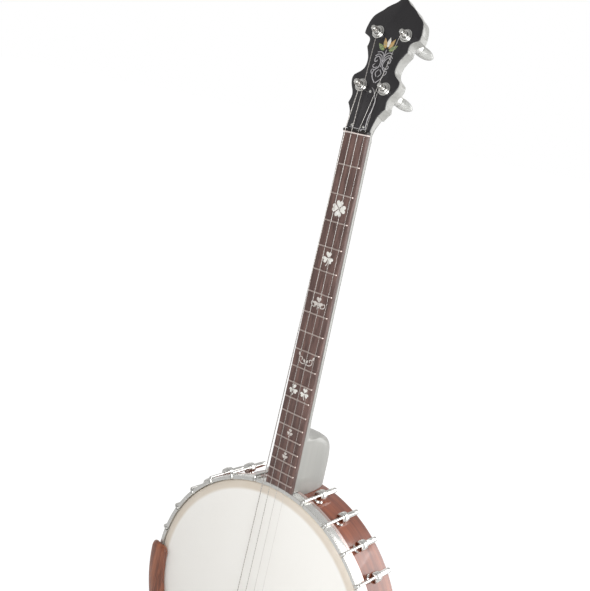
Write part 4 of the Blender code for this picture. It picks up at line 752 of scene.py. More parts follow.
@dataclass(frozen=True)
class Layout:
    """Sizes that several sub-assemblies share, in millimetres and degrees."""

    scale_length: float = 580.0
    frets: int = 19
    gauges: tuple[float, ...] = (1.02, 0.76, 0.51, 0.30)
    nut_half_width: float = 14.95
    board_slope: float = 0.0081511
    board_thickness: float = 5.5
    gap: float = 0.3
    headstock_tilt: float = 14.0
    face_drop: float = 1.0
    core_back: float = -15.3
    core_front: float = -1.5
    head_radius: float = 152.4
    hoop_inner: float = 152.7
    hoop_outer: float = 157.0
    hoop_front: float = 1.0
    hoop_back: float = 12.7
    rim_outer: float = 150.5
    rim_inner: float = 138.0
    rim_front: float = 9.0
    rim_back: float = 71.8
    rod_depth: float = 48.0
    bracket_places: int = 28
    tuners: tuple[tuple[float, float], ...] = ((-14.4, 50.8), (14.4, 50.8), (-17.0, 108.4),
                                               (17.0, 108.4))
    slot_play: float = 0.25
    pitch_at_nut: float = 8.15
    pitch_at_bridge: float = 11.4
    pot_z: float = field(default_factory=lambda: float(sum(c[2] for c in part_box("head"))) / 2.0 / MM)

    def fret_z(self, number: float) -> float:
        """Height of a fret on the equal-tempered scale."""
        return -self.scale_length * (1.0 - 2.0 ** (-number / 12.0))

    def half_width(self, z: float) -> float:
        """Half the board's width at a height."""
        return self.nut_half_width - self.board_slope * min(z, 0.0)

    def string_x(self, index: int, z: float) -> float:
        """Sideways place of a string at a height between nut and bridge."""
        pitch = self.pitch_at_nut - z / self.scale_length * (self.pitch_at_bridge - self.pitch_at_nut)
        return (index - (len(self.gauges) - 1) / 2.0) * pitch

    def on_headstock(self, points: np.ndarray) -> np.ndarray:
        """World places of points given sideways, up the face and out of it.

        Args:
            points: in the headstock's frame, which is tilted back about the nut.
        """
        c, s = (math.cos(math.radians(self.headstock_tilt)), math.sin(math.radians(self.headstock_tilt)))
        x, up, out = points[:, 0], points[:, 1], points[:, 2]
        return np.stack([x, self.face_drop - out * c + up * s, up * c + out * s], axis=1)

    def on_board(self, points: np.ndarray) -> np.ndarray:
        """World places of points given sideways, up the board and out of it."""
        return np.stack([points[:, 0], -points[:, 2], points[:, 1]], axis=1)

    def on_pot(self, bearing: float = 0.0) -> Callable[[np.ndarray], np.ndarray]:
        """Rule for points given sideways, outward and in depth, at degrees clockwise from the neck.

        Args:
            bearing: degrees seen from the front.

        Returns:
            A rule for Shape.placed.
        """
        c, s = math.cos(math.radians(bearing)), math.sin(math.radians(bearing))

        def rule(points: np.ndarray) -> np.ndarray:
            side, out, depth = points[:, 0], points[:, 1], points[:, 2]
            return np.stack([out * s + side * c, depth, self.pot_z + out * c - side * s], axis=1)
        return rule

    def outward(self, depth: float, bearing: float = 0.0) -> Callable[[np.ndarray], np.ndarray]:
        """Rule for turned shapes whose axis runs out from the pot's middle at a depth.

        Args:
            depth: millimetres behind the board's surface.
            bearing: degrees clockwise from the neck.

        Returns:
            A rule for Shape.placed.
        """
        place = self.on_pot(bearing)
        return lambda points: place(np.stack([points[:, 0], points[:, 2], depth + points[:, 1]], axis=1))

    def beside_hoop(self) -> list[float]:
        """Bearings of the brackets: every even place but the neck's and the tailpiece's."""
        step = 360.0 / self.bracket_places
        return [place * step for place in range(self.bracket_places)
                if place not in (0, self.bracket_places // 2)]

    def string_slots(self, z: float, top: float, floors: Iterable[float],
                     ends: tuple[float, float], edge: float) -> list[Shape]:
        """Blocks that cut a slot for each string.

        Args:
            z: height at which the strings' places are taken.
            top: depth where each block starts, above the material.
            floors: depth of each slot's floor.
            ends: where the blocks start and end along the strings.
            edge: rounding of the blocks' edges.

        Returns:
            A block for each string.
        """
        made = []
        for index, (gauge, floor) in enumerate(zip(self.gauges, floors)):
            x, half = self.string_x(index, z), gauge / 2.0 + self.slot_play
            made.append(block((x - half, top, ends[0]), (x + half, floor, ends[1]), edge))
        return made

    def pot_space(self) -> Shape:
        """What the pot takes out of the neck and board."""
        outer, inner = self.hoop_outer + 0.5, self.rim_outer + self.gap
        front, back, deep = -80.0, 17.8, 144.0
        profile = [(0.0, front), (outer, front), (outer, back), (inner, back), (inner, deep),
                   (0.0, deep)]
        return revolve(profile, 360).placed(self.on_pot())

    def tuner_holes(self) -> Shape:
        """The four holes through the headstock."""
        hole = revolve([(0.0, -30.0), (5.0, -30.0), (5.0, 10.0), (0.0, 10.0)], 40)
        return together(hole.moved(x, s) for x, s in self.tuners).placed(self.on_headstock)


# The headstock's right half, with the cusps between its lobes marked
HEADSTOCK_HALF = ((14.95, 4.0), (15.1, 10.0), (16.0, 16.0), (16.9, 21.0), (19.2, 25.7), (22.9, 31.0),
                  (21.7, 36.5), (21.8, 40.3), (23.5, 44.5), (26.1, 48.7), (28.2, 53.5), (28.8, 58.0),
                  (27.9, 61.0), (24.8, 63.3), (21.3, 66.0), (18.9, 69.0), (17.9, 73.5), (18.7, 80.0),
                  (21.3, 86.0), (24.7, 92.0), (24.1, 96.5), (24.7, 100.2), (26.7, 102.6),
                  (29.8, 104.2), (33.3, 105.8), (33.6, 109.5), (33.0, 115.5), (31.8, 120.6),
                  (29.2, 125.8), (25.3, 129.3), (21.2, 132.4), (17.4, 136.2), (12.6, 139.4),
                  (7.8, 142.3), (4.7, 145.3), (1.5, 148.0))
HEADSTOCK_CUSPS = (0, 5, 12, 19, 24, 31, 35)


def headstock_outline(start: float) -> np.ndarray:
    """The lobed outline from a place up the face to its tip.

    Args:
        start: where it is cut straight across.
    """
    half = smooth(HEADSTOCK_HALF, 8, HEADSTOCK_CUSPS)
    width = float(np.interp(start, half[:30, 1], half[:30, 0]))
    return mirrored(np.vstack([[(width, start)], half[half[:, 1] > start + 0.4]]))


def superellipse(half_width: float, depth: float, squareness: float, taper: float) -> np.ndarray:
    """Half section below a flat top.

    At angle a, from 0 to 180 degrees, down is sin(a) ** (2 / squareness), and the width is
    cos(a) ** (2 / squareness) with its sign, less the taper's share of down.

    Args:
        half_width: at the top.
        depth: of its lowest point.
        squareness: 2 for an ellipse, more for fuller corners.
        taper: share of the width lost at the bottom.
    """
    angle = np.linspace(0.0, np.pi, 41)
    down = np.maximum(np.sin(angle), 0.0) ** (2.0 / squareness)
    across = np.sign(np.cos(angle)) * np.abs(np.cos(angle)) ** (2.0 / squareness)
    return np.stack([half_width * across * (1.0 - taper * down), depth * down], axis=1)


# Neck

@dataclass
class Neck:
    """Neck, heel and headstock core in one piece of lacquered maple, with the truss rod in it."""

    layout: Layout
    top: float = 5.8
    depth_at_nut: float = 12.9
    depth_at_heel: float = 14.4
    heel_back: float = 74.0
    # Height above the heel's root, and the share of the heel's own depth there
    heel: tuple[tuple[float, float], ...] = (
        (-12.0, 1.0), (10.0, 1.0), (29.9, 1.0), (39.8, 0.985), (47.8, 0.95), (54.8, 0.875),
        (60.4, 0.755), (64.4, 0.61), (66.4, 0.49), (67.1, 0.3), (68.3, 0.16), (70.6, 0.085),
        (74.9, 0.05), (82.0, 0.022), (90.0, 0.0))
    # Sections square to the headstock's face: place up it, half width, depth and squareness
    root: tuple[tuple[float, float, float, float], ...] = (
        (9.0, 14.9, 13.6, 3.0), (14.5, 15.6, 13.6, 3.8), (19.5, 16.5, 13.6, 5.5),
        (24.2, 17.3, 13.6, 9.0))
    shaft_squareness: float = 2.2
    heel_squareness: float = 4.4
    heel_taper: float = 0.04
    core_start: float = 22.0
    rod_axis: float = 9.0
    rod_radius: float = 2.9

    def level(self, z: float, depth: float, squareness: float, taper: float = 0.0) -> np.ndarray:
        """A section square to Z under the board.

        Args:
            z: its height.
            depth: below the neck's top.
            squareness: of the section.
            taper: share of the width lost at the bottom.
        """
        half = superellipse(self.layout.half_width(z), depth, squareness, taper)
        return np.stack([half[:, 0], self.top + half[:, 1], np.full(len(half), z)], axis=1)

    def leaned(self, up: float, half_width: float, depth: float, squareness: float) -> np.ndarray:
        """A section square to the headstock's face, from the face plate's back.

        Args:
            up: place along the face.
            half_width: at the face.
            depth: behind the face plate.
            squareness: of the section.
        """
        half = superellipse(half_width, depth, squareness, 0.0)
        place = np.stack([half[:, 0], np.full(len(half), up), self.layout.core_front - half[:, 1]], axis=1)
        return self.layout.on_headstock(place)

    def rings(self) -> np.ndarray:
        """Sections from the heel's root to the middle of the headstock."""
        start = self.layout.pot_z + self.layout.rim_outer
        extra = self.heel_back - self.top - self.depth_at_heel
        made = []
        for height, swell in smooth(self.heel, 5):
            squareness = self.shaft_squareness + swell * (self.heel_squareness - self.shaft_squareness)
            made.append(self.level(start + height, self.depth_at_heel + extra * swell, squareness,
                                   self.heel_taper * swell))
        clear = start + self.heel[-1][0]
        for share in np.linspace(0.08, 0.96, 12):
            depth = self.depth_at_heel + share * (self.depth_at_nut - self.depth_at_heel)
            made.append(self.level(clear * (1.0 - share), depth, self.shaft_squareness))
        # Behind the nut the sections lean over by steps until they stand square to the headstock
        keys = [made[-1], self.level(-9.0, self.depth_at_nut, self.shaft_squareness),
                self.level(-4.0, self.depth_at_nut, 2.3),
                0.55 * self.leaned(1.2, 14.9, 13.8, 2.5) + 0.45 * self.level(0.6, 13.0, 2.5),
                *[self.leaned(*row) for row in self.root]]
        flat = np.stack(keys).reshape(len(keys), -1)
        blend = smooth(flat, 6).reshape(-1, *keys[0].shape)
        return np.concatenate([np.stack(made[:-1]), blend])

    def build(self) -> None:
        """Make the neck, the truss rod and its nut."""
        layout, axis, radius = self.layout, self.rod_axis, self.rod_radius
        core = slab(headstock_outline(self.core_start), layout.core_back, layout.core_front, 0.8, 5)
        half, low = radius + 0.4, layout.pot_z + layout.rim_outer + 11.7
        channel = block((-half, -1.0, low), (half, axis + half, 8.0))
        pocket = block((-5.0, -1.0, 6.6), (5.0, axis + 5.0, 36.0))
        nut_seat = block((-20.0, -6.0, -6.0), (20.0, self.top, 4.6), 0.1)
        piece("banjo_neck", grid(self.rings(), caps=True), NECK_LACQUER, "neck",
              joins=[core.placed(layout.on_headstock)],
              cuts=[layout.pot_space(), layout.tuner_holes(), channel, pocket, nut_seat])
        rod = turned([(0.0, low + 0.3), (radius, low + 0.3), (radius, 8.3), (2.0, 8.3), (2.0, 13.9),
                      (0.0, 13.9)], [0, 0.5, 0.4, 0.0, 0.4, 0], 3, 32)
        piece("truss_rod_bar", rod.moved(0.0, axis), STEEL, "truss_rod")
        bore = revolve([(0.0, 8.0), (2.4, 8.0), (2.4, 17.0), (0.0, 17.0)], 32)
        piece("truss_nut_hexagon", hexagon(3.7, 8.6, 16.6).moved(0.0, axis), BRASS,
              "truss_rod_nut", "truss_nut", cuts=[bore.moved(0.0, axis)])


def hexagon(corner_radius: float, low: float, high: float, edge: float = 0.35) -> Shape:
    """Hexagonal prism about Z with softened edges."""
    angle = np.arange(6) * np.pi / 3.0
    corners = np.stack([corner_radius * np.cos(angle), corner_radius * np.sin(angle)], axis=1)
    return slab(rounded(corners, 0.12 * corner_radius, 3), low, high, edge, 3)


def ribbon(path: Sequence, width: float | Sequence[float]) -> np.ndarray:
    """Outline of a flat band along a smooth path, with rounded ends.

    Args:
        path: places along the band's middle.
        width: one value, or one for each place.
    """
    places = np.asarray(path, float)
    sizes = np.broadcast_to(width, (len(places),))[:, None]
    curve = smooth(np.hstack([places, sizes]), 8)
    line, half = curve[:, :2], 0.5 * curve[:, 2:]
    run = unit(np.gradient(line, axis=0))
    normal = np.stack([-run[:, 1], run[:, 0]], axis=1)
    angle = np.linspace(0.0, np.pi, 7)[1:-1, None]
    tip = line[-1] + half[-1] * (np.cos(angle) * normal[-1] + np.sin(angle) * run[-1])
    root = line[0] + half[0] * (-np.cos(angle) * normal[0] - np.sin(angle) * run[0])
    return np.vstack([line + half * normal, tip, (line - half * normal)[::-1], root])


def heart_leaf(width: float, length: float) -> np.ndarray:
    """Heart outline with its point at the origin and its notch up.

    At angle t, x is sin(t) cubed and y is (13 cos t - 5 cos 2t - 2 cos 3t - cos 4t) / 16, both
    then scaled to the width and length.

    Args:
        width: across its lobes.
        length: from its point to their tops.
    """
    t = np.linspace(0.0, 2.0 * np.pi, 40, endpoint=False)
    x = np.sin(t) ** 3
    y = (13.0 * np.cos(t) - 5.0 * np.cos(2 * t) - 2.0 * np.cos(3 * t) - np.cos(4 * t)) / 16.0
    y = (y - y.min()) / (y.max() - y.min())
    return np.stack([0.5 * width * x, length * y], axis=1)


def pointed_leaf(width: float, length: float) -> np.ndarray:
    """Leaf outline from the origin up: half its width is sin(pi * s ** 0.8) at share s of its length."""
    share = np.linspace(0.0, 1.0, 14)
    right = np.stack([0.5 * width * np.sin(np.pi * share ** 0.8), length * share], axis=1)
    right[[0, -1], 0] = 0.0
    return mirrored(right)


@dataclass(frozen=True)
class Inlay:
    """A flat piece of shell or wire let into a face and standing a hair proud of it."""

    outline: np.ndarray
    x: float = 0.0
    y: float = 0.0
    turn: float = 0.0
    depth: float = 0.6
    proud: float = 0.05

    def shape(self) -> Shape:
        """The piece about its place in the face."""
        return slab(self.outline, -self.depth, self.proud, 0.04, 2).spun(self.turn).moved(self.x, self.y)


def scroll_pair(path: Sequence, width: float) -> list[Inlay]:
    """A curled band and its mirror image."""
    return [Inlay(ribbon([(side * x, y) for x, y in path], width)) for side in SIDES]


def leaf_pair(width: float, length: float, x: float, y: float, turn: float) -> list[Inlay]:
    """A pointed leaf that leans outward and its mirror image."""
    return [Inlay(pointed_leaf(width, length), side * x, y, -side * turn) for side in SIDES]


def clover(count: int, width: float, length: float, x: float = 0.0, y: float = 0.0) -> list[Inlay]:
    """Heart leaves round one point.

    Args:
        count: how many leaves.
        width: of each.
        length: of each.
        x: the point's place sideways.
        y: the point's place up the board.
    """
    return [Inlay(heart_leaf(width, length), x, y, 360.0 * k / count) for k in range(count)]


# Headstock face

# The inlay's scrolls: places along the right-hand one, and the wire's width
HEADSTOCK_SCROLLS = (
    (((0.8, 56.0), (5.6, 61.5), (6.6, 67.5), (2.2, 73.0), (2.4, 79.5), (7.0, 83.5), (9.6, 80.5),
      (8.0, 77.6), (6.4, 79.2)), 1.0),
    (((1.2, 62.4), (3.4, 66.2), (0.9, 69.8)), 0.8),
    (((3.9, 72.6), (7.6, 71.2), (9.4, 73.6), (7.9, 75.2)), 0.8),
    (((0.7, 79.0), (3.2, 84.6), (7.4, 85.8), (10.2, 83.6)), 0.9),
    (((0.0, 80.0), (1.4, 86.4), (4.6, 88.6), (9.0, 88.0)), 0.8),
    (((6.2, 64.0), (9.0, 66.4), (8.6, 69.4), (6.6, 69.0)), 0.8))


@dataclass
class HeadstockFace:
    """Black face plate with a palmette above scrolls let into it, and the truss rod cover."""

    layout: Layout
    start: float = 5.0
    thickness: float = 1.2
    cover_half_width: float = 9.6
    cover_start: float = 5.6
    cover_shoulder: float = 38.0
    cover_tip: float = 50.0
    cover_bevel: float = 0.3
    screw_inset: float = 2.6
    screw_radius: float = 1.5

    def build(self) -> None:
        """Make the plate, its inlay and the cover."""
        place = self.layout.on_headstock
        plate = slab(headstock_outline(self.start), -self.thickness, 0.0, 0.35, 4)
        pocket = block((-5.0, -5.0, -10.0), (5.0, 33.0, 5.0)).placed(place)
        piece("headstock_face", plate.placed(place), BLACK_GLOSS, "headstock_veneer",
              cuts=[self.layout.tuner_holes(), pocket])
        for name, finish, parts in self.inlay():
            piece(name, together(part.shape() for part in parts).placed(place), finish,
                  "headstock_veneer")
        self.build_cover(place)

    def inlay(self) -> list[tuple[str, Finish, list[Inlay]]]:
        """A palmette of shell leaves above scrolls of silver wire, alike on both sides."""
        scrolls = [part for path, width in HEADSTOCK_SCROLLS for part in scroll_pair(path, width)]
        stem = Inlay(ribbon([(0.0, 73.0), (0.0, 91.0)], 0.9))
        return [("headstock_scrolls", SILVER_WIRE, [*scrolls, stem]),
                ("headstock_green_leaves", GREEN_SHELL, leaf_pair(4.6, 11.0, 3.0, 90.4, 52.0)),
                ("headstock_orange_leaves", ABALONE, leaf_pair(4.4, 12.0, 1.8, 92.6, 22.0)),
                ("headstock_middle_leaf", PEARL, [Inlay(pointed_leaf(4.2, 11.0), 0.0, 94.0)])]

    def build_cover(self, place: Callable[[np.ndarray], np.ndarray]) -> None:
        """Two-ply cover whose white ply shows as a border, with three screws."""
        wide, shoulder, tip = self.cover_half_width, self.cover_shoulder, self.cover_tip
        outline = mirrored(smooth(
            [(wide, self.cover_start), (wide - 1.2, 0.5 * shoulder), (wide, 0.82 * shoulder),
             (wide - 0.6, shoulder), (0.62 * wide, 0.55 * shoulder + 0.45 * tip),
             (0.36 * wide, 0.2 * shoulder + 0.8 * tip), (0.0, tip)], 6))
        white = slab(outline, 0.3, 1.6, 0.35, 3)
        black = slab(inset(outline, self.cover_bevel), 1.6, 2.1, 0.2, 3)
        node, radius = "truss_rod_cover", self.screw_radius
        piece("truss_cover_white_ply", white.placed(place), COVER_WHITE, node)
        piece("truss_cover_black_ply", black.placed(place), COVER_BLACK, node)
        dome = turned([(0.0, 1.6), (radius, 1.6), (radius, 2.2), (0.0, 2.6)], [0, 0.1, 0.5, 0], 3, 32)
        cross = [block((-1.1, -0.18, 2.2), (1.1, 0.18, 3.0), 0.05),
                 block((-0.18, -1.1, 2.2), (0.18, 1.1, 3.0), 0.05)]
        corner, low = wide - self.screw_inset, self.cover_start + self.screw_inset
        for number, (x, s) in enumerate(((-corner, low), (corner, low), (0.0, tip - 4.4)), 1):
            piece(f"cover_screw_{number}", dome.moved(x, s).placed(place), CHROME, node,
                  cuts=[arm.moved(x, s).placed(place) for arm in cross])


# Fingerboard

@dataclass
class Fingerboard:
    """Rosewood board with crowned frets, shell markers, and the bone nut at its end."""

    layout: Layout
    fret_width: float = 1.7
    fret_height: float = 1.1
    fret_inset: float = 0.6
    fret_flank: float = 0.35
    nut_start: float = 1.5
    nut_end: float = 4.2
    nut_front: float = -2.0
    nut_back: float = 5.5
    strip_front: float = -0.92
    slot_depth: float = 1.3

    def build(self) -> None:
        """Make the board, the frets, the markers and the nut."""
        layout = self.layout
        reach = layout.hoop_outer + 0.5
        low_half, top_half = layout.half_width(layout.pot_z + reach), layout.half_width(0.0)
        x = np.linspace(-low_half, low_half, 25)
        end = np.stack([x, layout.pot_z + np.sqrt(reach ** 2 - x ** 2)], axis=1)
        top = [(top_half, -layout.gap), (-top_half, -layout.gap)]
        board = slab(np.vstack([end, top]), -layout.board_thickness, 0.0, 0.5, 4)
        piece("rosewood_board", board.placed(layout.on_board), ROSEWOOD, "fingerboard")
        for number in range(1, layout.frets + 1):
            piece(f"fret_{number:02d}", self.fret(layout.fret_z(number)), FRET_NICKEL, "fingerboard")
        for number, parts in self.markers().items():
            middle = 0.5 * (layout.fret_z(number) + layout.fret_z(number - 1))
            shape = together(part.shape() for part in parts).moved(0.0, middle)
            piece(f"marker_at_fret_{number:02d}", shape.placed(layout.on_board),
                  PEARL if number in (3, 5, 12) else GREY_PEARL, "fingerboard")
        self.build_nut()

    def fret(self, z: float) -> Shape:
        """A crown of half an ellipse on straight flanks, sloping down at its ends.

        Args:
            z: height of its middle.
        """
        reach = self.layout.half_width(z) - self.fret_inset
        x = np.concatenate([[-reach, -reach + 0.5, -reach + 0.9], np.linspace(-reach + 1.4, reach - 1.4, 9),
                            [reach - 0.9, reach - 0.5, reach]])
        lift = np.clip(0.3 + 0.7 * (reach - np.abs(x)) / 0.9, 0.0, 1.0)[:, None]
        angle = np.linspace(0.0, np.pi, 15)
        across = 0.5 * self.fret_width * np.append(np.cos(angle), [-1.0, 1.0])
        crown = self.fret_flank + (self.fret_height - self.fret_flank) * np.sin(angle)
        rise = np.append(crown, [-0.3, -0.3])
        y = np.where(rise > 0.0, -rise * lift, -rise)
        points = np.stack([np.broadcast_to(x[:, None], y.shape), y,
                           np.broadcast_to(z + across, y.shape)], axis=-1)
        return grid(points, caps=True)

    def markers(self) -> dict[int, list[Inlay]]:
        """The leaves, stems and curls below each marked fret, about the middle of their place."""
        twins = []
        for side in SIDES:
            twins += clover(3, 5.4, 5.6, side * 7.6, 1.4)
            twins.append(Inlay(ribbon([(side * 7.6, 1.2), (side * 7.2, -3.0), (side * 8.4, -5.8)], 0.8)))
        curls = scroll_pair([(0.6, -1.0), (4.6, -3.6), (8.6, -1.6), (8.0, 1.6), (6.0, 0.4)], 0.9)
        scrolls = scroll_pair([(0.7, -3.8), (4.2, -4.4), (8.4, -1.6), (7.6, 2.4), (4.8, 1.8),
                               (5.2, -0.4)], 0.9)
        stems = {5: ([(0.0, 1.6), (0.5, -2.8), (-1.2, -6.8)], 0.8), 7: ([(0.0, 1.0), (0.0, -5.6)], 0.8),
                 15: ([(0.0, 0.4), (0.2, -2.2), (-0.8, -4.8)], 0.9),
                 17: ([(0.0, 0.4), (-0.2, -2.0), (0.8, -4.4)], 0.9)}
        made = {3: clover(4, 8.4, 8.4), 5: clover(3, 6.8, 6.6, y=1.8),
                7: clover(3, 6.2, 6.0, y=1.6) + curls,
                10: scrolls + leaf_pair(2.4, 5.0, 8.2, 2.8, 30.0) + leaf_pair(2.4, 4.6, 1.0, -2.8, 22.0),
                12: twins, 15: clover(3, 3.9, 3.8, y=0.6), 17: clover(3, 3.8, 3.6, y=0.6)}
        for number, (path, width) in stems.items():
            made[number].append(Inlay(ribbon(path, width)))
        return made

    def build_nut(self) -> None:
        """Bone strip that the strings lie on, and the dark slotted nut behind it."""
        start, end, front, back = self.nut_start, self.nut_end, self.nut_front, self.nut_back
        half = self.layout.nut_half_width
        strip = rounded([(0.0, back), (start - 0.1, back), (start - 0.1, self.strip_front),
                         (0.0, self.strip_front)], [0.1, 0.1, 0.5, 0.5], 5)
        dark = rounded([(start, back), (end, back), (end, front + 1.1), (end - 1.0, front),
                        (start, front)], [0.2, 0.2, 0.9, 0.9, 0.35], 5)
        floors = [front + self.slot_depth] * len(self.layout.gauges)
        piece("nut_strip", slab(strip, -half, half, 0.3, 3).swapped(2, 1, 0), BONE, "string_nut")
        piece("nut_block", slab(dark, -half, half, 0.3, 3).swapped(2, 1, 0), NUT_BLACK, "string_nut",
              cuts=self.layout.string_slots(0.0, front - 1.0, floors, (-1.0, end + 1.0), 0.2))


# Tuners

@dataclass
class Tuner:
    """Geared peg: housing and bushing on the neck, a post with its planets, and a button."""

    layout: Layout
    number: int
    x: float
    station: float
    body_radius: float = 4.6
    washer_radius: float = 6.9
    bushing_radius: float = 5.9
    housing_radius: float = 6.8
    housing_wall: float = 1.3
    housing_back: float = -28.6
    rest_angle: float = 14.0
    post_radius: float = 3.0
    waist_radius: float = 2.2
    planets: int = 3
    planet_circle: float = 3.5
    button_half_width: float = 12.0
    button_half_thickness: float = 5.8
    button_length: float = 19.0
    # Share of the button's length, and the shares of its width and thickness there
    button: tuple[tuple[float, float, float], ...] = (
        (0.0, 0.34, 0.62), (0.07, 0.5, 0.76), (0.2, 0.74, 0.9), (0.5, 1.0, 1.0),
        (0.8, 0.93, 0.86), (0.95, 0.74, 0.64), (1.0, 0.5, 0.36))

    def put(self, shape: Shape) -> Shape:
        """The shape on this tuner's axis in the headstock."""
        return shape.moved(self.x, self.station).placed(self.layout.on_headstock)

    def build(self) -> None:
        """Make the fixed parts, then what turns with the post and with the button."""
        bore, body, edge = self.post_radius + 0.4, self.body_radius, self.bushing_radius
        case, wall, back = self.housing_radius, self.housing_wall, self.housing_back
        front = self.layout.core_back - self.layout.gap
        parts = {
            "washer": ([(body, 0.3), (self.washer_radius, 0.3), (self.washer_radius, 1.3), (body, 1.3)],
                       [0.1, 0.2, 0.55, 0.1], 4),
            "bushing": ([(bore, 1.3), (edge, 1.3), (edge, 2.5), (5.2, 3.7), (4.3, 4.1), (bore, 4.1)],
                        [0.1, 0.1, 0.5, 0.6, 0.5, 0.25], 5),
            "gear_case": ([(bore, 1.2), (body, 1.2), (body, front), (case, front), (case, front - 2.4),
                           (6.4, front - 3.0), (case, front - 3.6), (case, back), (2.4, back),
                           (2.4, back + wall), (case - wall, back + wall), (case - wall, front - wall),
                           (bore, front - wall)],
                          [0.1, 0.1, 0.3, 0.5, 0.2, 0.2, 0.2, 1.6, 0.3, 0.1, 0.3, 0.3, 0.1], 4)}
        for name, (corners, radii, steps) in parts.items():
            piece(f"{name}_{self.number}", self.put(turned(corners, radii, steps, 64, ring=True)), CHROME,
                  f"tuner_housing_{self.number}")
        self.build_post()
        self.build_button()

    def build_post(self) -> None:
        """String post with its slot, its carrier and three planet gears."""
        n, r, waist = self.number, self.post_radius, self.waist_radius
        body, node = f"post_{n}", f"tuner_post_{n}"
        post = turned([(0.0, 12.4), (0.6 * r, 12.4), (0.84 * r, 11.9), (0.86 * r, 11.1), (waist, 10.6),
                       (waist, 6.2), (r, 5.4), (r, -17.2), (4.9, -17.2), (4.9, -19.2), (0.0, -19.2)],
                      [0, 0.5, 0.3, 0.4, 0.6, 0.6, 0.4, 0.2, 0.3, 0.3, 0], 4, 48)
        slot = block((-8.0, -0.6, 11.3), (8.0, 0.6, 16.0), 0.2)
        piece(f"string_post_{n}", self.put(post), CHROME, node, body=body, cuts=[self.put(slot)])
        circle, angles = self.planet_circle, [2.0 * math.pi * k / self.planets for k in range(self.planets)]
        gears = together(gear(9, 1.75, -23.2, -19.2).moved(circle * math.cos(a), circle * math.sin(a))
                         for a in angles)
        piece(f"planet_gears_{n}", self.put(gears), STEEL, node, body)

    def build_button(self) -> None:
        """Pearl button, its metal collar, and the shaft with the sun gear."""
        n, top = self.number, self.housing_back - 2.0
        body, node = f"button_{n}", f"tuner_button_{n}"
        keys = smooth(self.button, 6)
        angle = np.arange(56) * 2.0 * np.pi / 56
        share, wide, thick = keys[:, :1], keys[:, 1:2], keys[:, 2:]
        rings = np.stack([self.button_half_width * wide * np.cos(angle),
                          self.button_half_thickness * thick * np.sin(angle),
                          top - self.button_length * share + 0.0 * angle], axis=-1)
        pearl = grid(rings, caps=True).spun(-math.copysign(self.rest_angle, self.x))
        piece(f"pearl_button_{n}", self.put(pearl), BUTTON_PEARL, node, body)
        shaft = turned([(0.0, -19.6), (1.1, -19.6), (1.1, -27.0), (2.0, -27.0), (2.0, -29.5), (3.2, -29.5),
                        (3.2, -30.9), (0.0, -30.9)], [0, 0.2, 0.1, 0.2, 0.1, 0.4, 0.3, 0], 3, 40)
        piece(f"button_shaft_{n}", self.put(shaft), CHROME, node, body=body)
        piece(f"sun_gear_{n}", self.put(gear(7, 1.35, -23.4, -19.7)), STEEL, node, body)


# Pot

